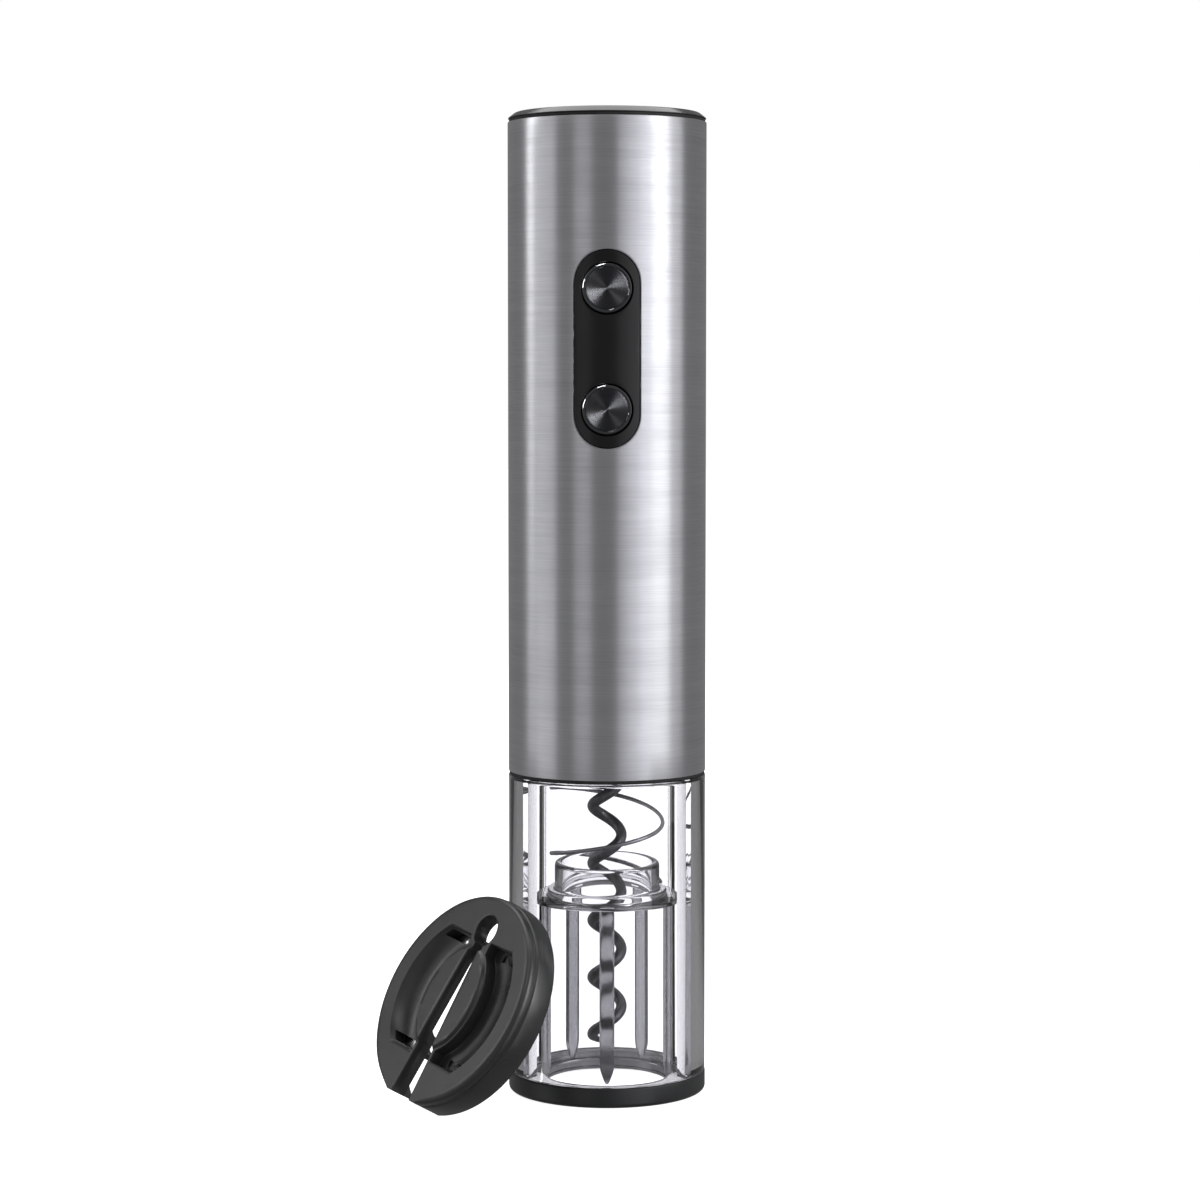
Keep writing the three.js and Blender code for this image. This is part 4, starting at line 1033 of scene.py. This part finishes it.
@dataclass
class Controls(Assembly):
    """The glossy panel in the sleeve's window and its two buttons."""

    face: float = 24.15
    thick: float = 1.5
    half: float = 8.0
    straight: float = 15.8
    window_at: float = 184.6
    hole: float = 6.25
    hole_off: float = 14.55
    ring: float = 5.95
    ring_face: float = 24.9
    disc: float = 5.15
    disc_back: float = 24.4
    disc_face: float = 24.86
    disc_dish: float = 0.12
    flange: tuple[float, float] = (20.75, 21.4)
    flange_radius: float = 6.9

    def panel(self) -> bpy.types.Object:
        """The panel: for each half, rows run from the button's hole out to the half's outline along
        rays from the hole's centre, on a tube about Z; then it gets its thickness and eased edges.

        Returns:
            The piece.
        """
        arc = np.radians(np.linspace(0, 180, 49))
        outline = np.vstack([
            np.stack([np.linspace(-self.half, self.half, 21), np.zeros(21)], axis=-1)[:-1],
            np.stack([np.full(20, self.half), np.linspace(0, self.straight, 20, endpoint=False)], axis=-1),
            np.stack([self.half * np.cos(arc), self.straight + self.half * np.sin(arc)], axis=-1)[:-1],
            np.stack([np.full(20, -self.half), np.linspace(self.straight, 0, 20, endpoint=False)], axis=-1)])
        centre = np.array([0.0, self.hole_off])
        ray = outline - centre
        circle = centre + self.hole * ray / np.linalg.norm(ray, axis=1)[:, None]
        s = np.linspace(0, 1, 9)[:, None, None]
        plan = circle * (1 - s) + outline * s
        solid = Solid()
        for way in (1.0, -1.0):
            x, z = plan[..., 0], way * plan[..., 1] + self.window_at
            points = np.stack([x, -np.sqrt(self.face ** 2 - x ** 2), z], axis=-1)
            solid.add(points, grid_faces(*x.shape, False, True))
        piece = place("panel_plate", solid.mesh("panel_plate"))
        if piece.data.polygons[0].normal.y > 0:
            piece.data.flip_normals()
        return give_wall(piece, self.thick, 0.32, 3)

    def button(self, name: str, height: float) -> bpy.types.Object:
        """A button: a flanged plunger with a rounded rim about a sunk floor, turned about its own
        axis, which looks out of the panel.

        Args:
            name: the piece's name.
            height: the height of its centre.

        Returns:
            The piece.
        """
        inside, (low, high) = self.disc + 0.05, self.flange
        outline = rounded([(0.0, low), (self.flange_radius, low), (self.flange_radius, high),
                           (self.ring, high), (self.ring, self.ring_face), (inside, self.ring_face),
                           (inside, self.disc_back), (0.0, self.disc_back)],
                          [0.0, 0.2, 0.2, 0.2, 0.5, 0.06, 0.05, 0.0], 7)
        return Solid().revolve(outline, 96, closed=False).moved(*facing_front(height)).piece(name)

    def spun_disc(self, name: str, height: float) -> bpy.types.Object:
        """A button's metal face: a slightly dished disc turned about the button's axis.

        Args:
            name: the piece's name.
            height: the height of its centre.

        Returns:
            The piece.
        """
        r = np.linspace(0, self.disc - 0.25, 26)
        face = np.stack([r, self.disc_face + self.disc_dish * (r / r[-1]) ** 2], axis=-1)
        rim = np.array([(self.disc - 0.08, 24.97), (self.disc, self.disc_face), (self.disc, self.disc_back),
                        (0.0, self.disc_back)])
        solid = Solid().revolve(np.vstack([face, rim]), 120, closed=False)
        return solid.moved(*facing_front(height)).piece(name)

    def build(self) -> None:
        """Makes the pieces and dresses them."""
        sheen = Plastic("panel_black", (0.002, 0.0023, 0.0024), (0.0034, 0.0037, 0.0038), (0.2, 0.27),
                        dust=0.05, height=0.0000006, specular=0.45)
        self.hand_over(self.panel(), "opener", "gloss_black", "button_panel", finish=sheen)
        for which, way in (("upper", 1.0), ("lower", -1.0)):
            height = self.window_at + way * self.hole_off
            self.hand_over(self.button(f"{which}_plunger", height), f"{which}_push_button", "gloss_black",
                           f"{which}_button")
            spun = Metal(f"spun_metal_{which}", (0.075, 0.077, 0.082), (0.034, 0.035, 0.038),
                         (0.2, 0.28), Lay.RINGS, 0.95, along=40.0, across=2400.0, height=0.000002,
                         centre=(0.0, -0.0245, height * MM))
            self.hand_over(self.spun_disc(f"{which}_face", height), f"{which}_push_button", "spun_metal",
                           f"{which}_button_disc", finish=spun)


# ------------------------------------------------------------------ the foil cutter

@dataclass
class FoilCutter(Assembly):
    """The round foil cutter that leans on the barrel: a shell in two grips joined above a keyhole."""

    radius: float = 27.3
    face: float = 8.4
    plate: float = 4.2
    thin: float = 6.2
    flat: float = -26.4
    slot: tuple[float, float] = (1.55, 4.1)
    keyhole: tuple[float, float] = (18.2, 4.0)
    grip: tuple[float, float] = (10.7, 14.2)
    rise: float = 0.8
    pocket: tuple[float, float, float] = (4.4, 21.3, 15.8)
    depth: float = 3.2
    slope: float = 5.4
    window: tuple[float, float] = (13.15, 15.3)
    wheel: tuple[float, float, float] = (4.2, 3.3, 3.9)
    lip_turns: tuple[tuple[float, float], ...] = ((-75.5, 75.5), (104.5, 255.5))
    least_row: float = 0.22
    fan_level: float = 99.0
    ease_at: tuple[float, ...] = (-0.35, -0.1, 0.0, 0.12, 0.4)
    front_rim: tuple[tuple[float, float], ...] = (
        (1.4, 8.4), (1.0, 8.27), (0.6, 7.95), (0.35, 7.55), (0.25, 7.2), (0.25, 6.6), (0.5, 6.3), (0.5, 6.0),
        (0.12, 5.75), (0.0, 5.4), (0.0, 0.5), (0.14, 0.14), (0.5, 0.0))
    back_rim: tuple[tuple[float, float], ...] = (
        (2.1, 4.0), (2.1, 3.5), (2.1, 3.0), (2.1, 2.5), (2.1, 2.0), (2.1, 1.5), (2.1, 1.0), (2.1, 0.6),
        (2.1, 0.35), (2.0, 0.12), (1.8, 0.0), (1.4, 0.0), (1.0, 0.0))
    axes: np.ndarray = field(init=False, repr=False)
    origin: tuple[float, float, float] = field(init=False, repr=False)
    axles: np.ndarray = field(init=False, repr=False)

    def __post_init__(self) -> None:
        """Reads where the cutter stands from its four wheels' axles."""
        joints = {j["name"]: j for j in frame["record"]["behaviour"]["joints"]}
        at = np.array([joints[f"cutting_wheel_{i}_spin"]["pos_m"] for i in (1, 2, 3, 4)]) / MM
        right, up = at[0] + at[1] - at[2] - at[3], at[0] - at[1] + at[2] - at[3]
        right, up = right / np.linalg.norm(right), up / np.linalg.norm(up)
        self.axes = np.array([right, up, np.cross(right, up)])
        self.origin = tuple(at.mean(axis=0) - (self.wheel[1] + self.wheel[2]) / 2 * self.axes[2])
        self.axles = np.stack([(at - self.origin) @ right, (at - self.origin) @ up], axis=-1)

    def rows(self) -> tuple[np.ndarray, np.ndarray, np.ndarray]:
        """The right half's rows: level lines from the slot's edge to the rim up to the top of the
        pocket, then rays that fan out round the keyhole.

        Returns:
            The inner ends, the outer ends and the level of each row, clamped over the fan.
        """
        ends = self.pocket[2] + np.array([0.35, 0.08, 0.0, -0.12, -0.4])
        lines = np.concatenate([-ends, ends[2:], self.window, [-w for w in self.window]])
        plain = np.linspace(self.flat, self.pocket[2], 74)
        keep = np.abs(plain[:, None] - lines).min(axis=1) > self.least_row
        y = np.unique(np.concatenate([plain[keep], lines, [self.flat]]))
        mid, r = self.keyhole
        half = self.slot[0] + (mid - y) / (mid + self.radius) * (self.slot[1] - self.slot[0])
        half = np.maximum(half, np.sqrt(np.maximum(r * r - (y - mid) ** 2, 0)))
        inner = np.stack([half, y], axis=-1)
        outer = np.stack([np.sqrt(self.radius ** 2 - y * y), y], axis=-1)
        f = np.linspace(0, 1, 30)[1:]
        start = math.atan2(y[-1] - mid, half[-1])
        a, b = start + f * (math.pi / 2 - start), (1 - f) * math.asin(y[-1] / self.radius) + f * math.pi / 2
        fan_in = np.stack([r * np.cos(a), mid + r * np.sin(a)], axis=-1)
        fan_out = self.radius * np.stack([np.cos(b), np.sin(b)], axis=-1)
        level = np.concatenate([y, np.full(len(f), self.fan_level)])
        return np.vstack([inner, fan_in]), np.vstack([outer, fan_out]), level

    def columns(self, inner: np.ndarray, outer: np.ndarray,
                level: np.ndarray) -> tuple[np.ndarray, np.ndarray, np.ndarray, int, int]:
        """Where the columns fall along each row: close lines at the slot's edge, at the grip's edge
        and at the pocket's outer wall, and even lines between them.

        Args:
            inner: the rows' inner ends.
            outer: the rows' outer ends.
            level: the rows' levels.

        Returns:
            The distances along the rows, the grip's and the pocket wall's distances, and the two
            column numbers that bound the wheel windows.
        """
        span = np.linalg.norm(outer - inner, axis=1)
        y = np.clip(level, -self.pocket[2], self.pocket[2])
        first, last = np.argmax(level >= -self.pocket[2]), np.argmax(level >= self.pocket[2])
        row = np.clip(np.arange(len(level)), first, last)
        start, reach = inner[row, 0], span[row]
        grip = self.grip[0] * np.sqrt(np.maximum(1 - (y / self.grip[1]) ** 2, 0))
        g = np.maximum(np.maximum(grip, self.pocket[0]), start + 0.9)
        c = np.sqrt(self.pocket[1] ** 2 - y * y)
        a, b = g + 3.1, c - 1.1
        g, a, b, c = [(x - start) / reach * span for x in (g, a, b, c)]
        wall, nil = np.array(self.ease_at), np.zeros(len(span))
        parts = [close_to(nil, (0.0, 0.12, 0.4)), between(nil + 0.4, g - 1.3, 7),
                 close_to(g, (-1.1, -0.85, -0.6)), close_to(g, wall), between(g + 0.4, a, 2),
                 a[:, None], between(a, b, 3), b[:, None], between(b, c - 0.4, 3), close_to(c, -wall[::-1])]
        count = np.cumsum([p.shape[1] for p in parts])
        return np.maximum.accumulate(np.hstack(parts), axis=1), g, c, count[5] - 1, count[7] - 1

    def shell(self) -> Solid:
        """The shell between a front sheet and a back sheet on the same rows and columns. The front
        drops by the least of three depths, from the grip's edge, the pocket's outer wall and the
        pocket's ends, and rises over an ellipse; both sheets end in the rim's profile. Quads over
        the wheels are left out, and walls join the sheets along every free edge.

        Returns:
            The solid in the cutter's own axes.
        """
        inner, outer, level = self.rows()
        d, g, c, left, right = self.columns(inner, outer, level)
        heading = (outer - inner) / np.linalg.norm(outer - inner, axis=1)[:, None]
        plan = inner[:, None] + d[..., None] * heading[:, None]
        near_flat = np.clip((outer[:, 1] - self.flat) / 2.5, 0, 1)[:, None]
        out = near_flat * outer / self.radius + (1 - near_flat) * np.array([[1.0, 0.0]])
        out /= np.linalg.norm(out, axis=1)[:, None]
        steps = np.linspace(0, 1, 7)[None, 1:-1, None]

        def with_rim(rim: tuple, level_at: float, body: np.ndarray) -> np.ndarray:
            """Adds the flange and the rim's profile to one sheet.

            Args:
                rim: the profile's steps in from the outline, and their heights.
                level_at: the flange's height.
                body: the sheet's heights.

            Returns:
                The sheet's points.
            """
            profile = np.array(rim)
            edge = outer[:, None] - profile[None, :, :1] * out[:, None]
            flange = plan[:, -1:] * (1 - steps) + edge[:, :1] * steps
            z = np.hstack([body, np.full(flange.shape[:2], level_at),
                           np.broadcast_to(profile[:, 1], edge.shape[:2])])
            return np.concatenate([np.concatenate([plan, flange, edge], axis=1), z[..., None]], axis=2)

        at, ease = np.array(self.ease_at), np.array([0.0, 0.08, 0.4, self.depth - 0.12, self.depth])
        sink_ends = np.interp(self.pocket[2] - np.abs(level), at, ease)[:, None]
        run = np.clip((c[:, None] - d) / self.slope, 0, 1)
        bank = self.depth * (1 - (1 - run) ** 1.7)
        sink = np.minimum(np.minimum(np.interp(d - g[:, None], at, ease), bank), sink_ends)
        far = np.hypot(plan[..., 0] / (self.grip[0] - 0.6), plan[..., 1] / (self.grip[1] - 0.6))
        raised = self.rise * smoothstep((1 - far) * self.grip[0], -0.12, 0.4)
        front = self.face + raised - sink - np.interp(d, [0.0, 0.12, 0.4], [0.3, 0.08, 0.0])
        hub = 1 - smoothstep(np.hypot(plan[..., 0], plan[..., 1]), 10.1, 10.9)
        back = self.plate + hub * (self.thin - self.plate)
        sheets = [with_rim(self.front_rim, self.face, front), with_rim(self.back_rim, self.plate, back)]
        mirror = np.array([-1.0, 1.0, 1.0])
        front, back = [np.concatenate([s, (s * mirror)[-2::-1]]) for s in sheets]
        level = np.concatenate([level, level[-2::-1]])
        low, high = np.minimum(level[:-1], level[1:]), np.maximum(level[:-1], level[1:])
        tall = (self.window[0] - 1e-6, self.window[1] + 1e-6)
        open_rows = ((low > tall[0]) & (high < tall[1])) | ((high < -tall[0]) & (low > -tall[1]))
        cols = np.arange(front.shape[1] - 1)
        used = ~(open_rows[:, None] & ((cols >= left) & (cols < right))[None, :])
        return self.joined(front, back, used)

    def joined(self, front: np.ndarray, back: np.ndarray, used: np.ndarray) -> Solid:
        """Two sheets on one grid, with walls along every edge that has a used quad on one side only.

        Args:
            front: the front sheet's points.
            back: the back sheet's points.
            used: which quads are there.

        Returns:
            The solid.
        """
        rows, cols = front.shape[:2]
        number = np.arange(rows * cols).reshape(rows, cols)
        quads = grid_faces(rows, cols)[used.ravel()]
        ring = np.pad(used, 1)
        along = np.argwhere(ring[1:-1, 1:] != ring[1:-1, :-1])
        across = np.argwhere(ring[1:, 1:-1] != ring[:-1, 1:-1])
        (r1, c1), (r2, c2) = along.T, across.T
        first = np.concatenate([number[r1, c1], number[r2, c2]])
        second = np.concatenate([number[r1 + 1, c1], number[r2, c2 + 1]])
        below = rows * cols
        walls = np.stack([first, second, second + below, first + below], axis=-1)
        points = np.concatenate([front.reshape(-1, 3), back.reshape(-1, 3)])
        return Solid().add(points, np.vstack([quads, quads[:, ::-1] + below, walls]))

    def inner_ribs(self, solid: Solid) -> None:
        """Adds the lip that guides the bottle's rim, an arc of a rounded rectangle on each side.

        Args:
            solid: where it goes.
        """
        lip = rounded([(15.2, 1.4), (16.6, 1.4), (16.6, 4.6), (15.2, 4.6)], [0.35, 0.35, 0.0, 0.0])
        for low, high in self.lip_turns:
            solid.arc(lip, 90, (math.radians(low), math.radians(high)))

    def axle(self, at: np.ndarray) -> Solid:
        """One wheel's axle and its head, turned about the wheel's centre.

        Args:
            at: the wheel's centre in the cutter's own axes.

        Returns:
            The solid.
        """
        outline = rounded([(0.0, 4.6), (0.9, 4.6), (0.9, 3.1), (1.7, 3.1), (1.7, 2.6), (0.0, 2.6)],
                          [0.0, 0.0, 0.1, 0.2, 0.2, 0.0])
        return Solid().revolve(outline, 40, closed=False).moved(np.eye(3), (*at, 0.0))

    def blade(self, at: np.ndarray) -> Solid:
        """One cutting wheel: a thin disc with a ground edge, turned about its own centre.

        Args:
            at: the wheel's centre in the cutter's own axes.

        Returns:
            The solid.
        """
        r, low, high = self.wheel
        mid = (low + high) / 2
        outline = rounded([(1.0, low), (r - 1.3, low), (r, mid - 0.03), (r, mid + 0.03),
                           (r - 1.3, high), (1.0, high)], [0.05, 0.1, 0.02, 0.02, 0.1, 0.05])
        return Solid().revolve(outline, 96).moved(np.eye(3), (*at, 0.0))

    def build(self) -> None:
        """Makes the shell and the four wheels, stands them against the barrel and dresses them."""
        shell = self.shell()
        self.inner_ribs(shell)
        for at in self.axles:
            part = self.axle(at)
            shell.add(part.points[0], part.faces[0], part.corners[0])
        piece = shell.moved(self.axes, self.origin).piece("cutter_shell", 38)
        self.hand_over(piece, "foil_cutter_shell", "cutter_black", "foil_cutter")
        for i, at in enumerate(self.axles, start=1):
            blade = self.blade(at).moved(self.axes, self.origin).piece(f"wheel_blade_{i}")
            self.hand_over(blade, f"wheel_{i}", "bright_steel", f"cutting_wheel_{i}")


# ------------------------------------------------------------------ inside and around

@dataclass
class InnerWorks(Assembly):
    """The drive, motor, chassis and cells, which keep their own solids and get finishes."""

    def build(self) -> None:
        """Gives every node of the frame its slot's finish."""
        for entry in frame["record"]["subparts"]:
            node = frame["nodes"][entry["node"]]
            node.data.materials.clear()
            node.data.materials.append(FINISHES[entry["material_slot"]].build())


def direct_sight(g: Graph) -> Socket:
    """1 where a ray has met nothing but clear plastic on its way, and 0 after gloss or matt."""
    path = g.add("ShaderNodeLightPath")
    met = g.math("ADD", path.outputs["Glossy Depth"], path.outputs["Diffuse Depth"])
    return g.math("LESS_THAN", met, 0.5)


def soft_panel(name: str, at: Vector, facing: Vector, size: tuple[float, float], glow: float,
               colour: Colour = (1.0, 1.0, 1.0)) -> bpy.types.Object:
    """Makes a soft light panel, as bright as its glow times its area times pi, hidden from the camera.

    Args:
        name: the light's name.
        at: where its middle is.
        facing: the direction that it shines in.
        size: its width and height.
        glow: how bright each part of it is.
        colour: its colour.

    Returns:
        The light's object.
    """
    light = bpy.data.lights.new(name, "AREA")
    light.shape, light.size, light.size_y = "RECTANGLE", *size
    light.energy, light.color = glow * math.pi * size[0] * size[1], colour
    lamp = bpy.data.objects.new(name, light)
    lamp.location, lamp.rotation_euler = at, facing.to_track_quat("-Z", "Y").to_euler()
    lamp.visible_camera = False
    bpy.context.scene.collection.objects.link(lamp)
    return lamp


@dataclass(frozen=True)
class Card:
    """A soft light panel that stands at an angle from the camera's side of the object."""

    name: str
    angles: tuple[float, float]
    heights: tuple[float, float]
    glow: float
    colour: Colour = (1.0, 1.0, 1.0)
    distance: float = 1.15

    def build(self) -> None:
        """Makes the light, level and facing the object's middle line."""
        middle = math.radians(sum(self.angles) / 2)
        width = 2 * self.distance * math.tan(math.radians(self.angles[1] - self.angles[0]) / 2)
        across = Vector((math.sin(middle), -math.cos(middle), 0.0))
        at = across * self.distance + Vector((0.0, 0.0, sum(self.heights) / 2))
        soft_panel(self.name, at, -across, (width, self.heights[1] - self.heights[0]), self.glow, self.colour)


@dataclass(frozen=True)
class Accent:
    """A small soft panel for a few pieces, at an angle round the line to the front and an angle
    away from it."""

    name: str
    around: float
    away: float
    size: float
    glow: float

    def build(self, aim: Vector, lit: bpy.types.Collection) -> None:
        """Makes the light.

        Args:
            aim: the point that it faces.
            lit: the pieces that it lights.
        """
        a, b = math.radians(self.around), math.radians(self.away)
        out = Vector((math.sin(b) * math.cos(a), -math.cos(b), math.sin(b) * math.sin(a)))
        at = aim + 1.1 * out
        lamp = soft_panel(self.name, at, aim - at, (self.size, self.size), self.glow)
        lamp.light_linking.receiver_collection = lit


@dataclass
class Studio:
    """Camera, pale floor, soft light panels and a white surround."""

    disc_accents: tuple[Accent, ...] = (Accent("disc_key", 30.0, 22.0, 0.26, 34.0),
                                        Accent("disc_fill", 131.0, 22.0, 0.14, 9.0))
    rim_accents: tuple[Accent, ...] = (Accent("rim_top", 104.0, 52.0, 0.3, 240.0),
                                       Accent("rim_left", 166.0, 52.0, 0.3, 240.0))
    cutter_accents: tuple[Accent, ...] = (Accent("cutter_key", 28.0, 62.0, 0.5, 4.5),
                                          Accent("cutter_top", 100.0, 60.0, 0.4, 2.0))
    eye: tuple[float, float, float] = (0.0, -0.77543, 0.17526)
    tilt: float = 3.881
    swing: float = 0.129
    lens: float = 93.72
    surround: float = 0.22
    floor_half: float = 6000.0
    buttons_at: tuple[float, float, float] = (0.0, -0.0249, 0.1846)
    cutter_at: tuple[float, float, float] = (-0.035, -0.035, 0.025)
    cards: tuple[Card, ...] = (
        Card("right_near", (13.0, 25.0), (-0.5, 1.1), 0.5, (0.97, 0.96, 1.0)),
        Card("right_middle", (25.0, 38.0), (-0.5, 1.1), 0.85, (0.96, 0.95, 1.0)),
        Card("right_wide", (38.0, 53.0), (-0.5, 1.1), 1.25, (0.96, 0.96, 1.0)),
        Card("right_main", (53.0, 77.0), (0.0, 1.2), 2.5),
        Card("right_tail", (77.0, 97.0), (0.0, 1.0), 0.85),
        Card("left_low", (-38.0, -18.0), (-0.5, 1.0), 0.34),
        Card("left_fill", (-90.0, -62.0), (-0.5, 1.0), 0.52),
        Card("left_strip", (-106.0, -94.0), (0.25, 1.2), 3.0),
    )

    def camera(self) -> None:
        """Makes the camera."""
        data = bpy.data.cameras.new("view")
        data.lens, data.sensor_width, data.clip_start, data.clip_end = self.lens, 36.0, 0.01, 50.0
        seen = bpy.data.objects.new("view", data)
        seen.location = self.eye
        seen.rotation_euler = (math.radians(90 - self.tilt), 0, math.radians(self.swing))
        bpy.context.scene.collection.objects.link(seen)
        bpy.context.scene.camera = seen

    def floor(self) -> None:
        """Makes a wide pale floor just under the object, nearly white to the eye and mid-grey to gloss."""
        lowest = CAD_BOX[0].z / MM
        x, y = np.meshgrid([-self.floor_half, self.floor_half], [-self.floor_half, self.floor_half])
        corners = np.stack([x, y, np.full(x.shape, lowest)], axis=-1)
        mesh = Solid().add(corners, grid_faces(2, 2)).mesh("floor")
        if mesh.polygons[0].normal.z < 0:
            mesh.flip_normals()
        g, shader = new_material("floor_paper")
        grain = {"Vector": g.place_in_object(), "Scale": 400.0, "Detail": 4.0}
        paper, seen = g.add("ShaderNodeTexNoise", grain).outputs[0], direct_sight(g)
        pale = g.tint(paper, (0.86, 0.86, 0.86), (0.9, 0.9, 0.9))
        g.feed(shader, {"Base Color": g.tint(seen, (0.25, 0.25, 0.25), pale), "Roughness": 0.9,
                        "Emission Color": (1, 1, 1, 1), "Emission Strength": g.spread(seen, 0.0, 0.9)})
        mesh.materials.append(DRESSED["floor_paper"])
        paper = place("floor", mesh)
        paper.visible_glossy = False

    def world(self) -> None:
        """Makes the surround: white to the eye and through clear plastic, and grey to gloss."""
        world = bpy.data.worlds.new("surround")
        world.use_nodes = True
        g = Graph(world.node_tree)
        sky = g.tint(direct_sight(g), (self.surround,) * 3, (1.0, 1.0, 1.0))
        g.feed(world.node_tree.nodes["Background"], {"Color": sky})
        bpy.context.scene.world = world

    def overhead(self) -> None:
        """Makes the panel overhead, a little behind the object."""
        at = Vector((0.0, 0.35, 1.25))
        soft_panel("overhead", at, Vector((0.0, 0.0, 0.1)) - at, (1.4, 1.1), 2.4)

    def accent(self, name: str, pieces: list[bpy.types.Object], aim: tuple[float, float, float],
               accents: tuple[Accent, ...]) -> None:
        """Lights a few pieces alone.

        Args:
            name: the name of the collection of lit pieces.
            pieces: what is lit.
            aim: the point that the panels face.
            accents: the panels.
        """
        lit = bpy.data.collections.new(name)
        for piece in pieces:
            lit.objects.link(piece)
        for accent in accents:
            accent.build(Vector(aim), lit)

    def build(self) -> None:
        """Makes the camera, the floor, the surround and the lights."""
        self.camera()
        self.floor()
        self.world()
        self.overhead()
        for card in self.cards:
            card.build()
        bpy.context.scene.view_settings.view_transform = "Standard"


def main() -> None:
    """Builds the studio and every sub-assembly in order, and reports each piece."""
    logging.basicConfig(level=logging.INFO, format="%(name)s: %(message)s")
    studio, controls, cutter = Studio(), Controls(), FoilCutter()
    studio.build()
    InnerWorks().build()
    for assembly in (Barrel(), CorkDrive(), Sleeve(), Cap(), controls, cutter):
        assembly.build()
        for piece in assembly.made:
            LOG.info("%s: %s, %d faces", type(assembly).__name__, piece.name, len(piece.data.polygons))
    discs = [piece for piece in controls.made if "face" in piece.name]
    rims = [piece for piece in controls.made if "plunger" in piece.name]
    studio.accent("discs", discs, studio.buttons_at, studio.disc_accents)
    studio.accent("rims", rims, studio.buttons_at, studio.rim_accents)
    studio.accent("cutter", cutter.made, studio.cutter_at, studio.cutter_accents)


if __name__ == "__main__":
    main()
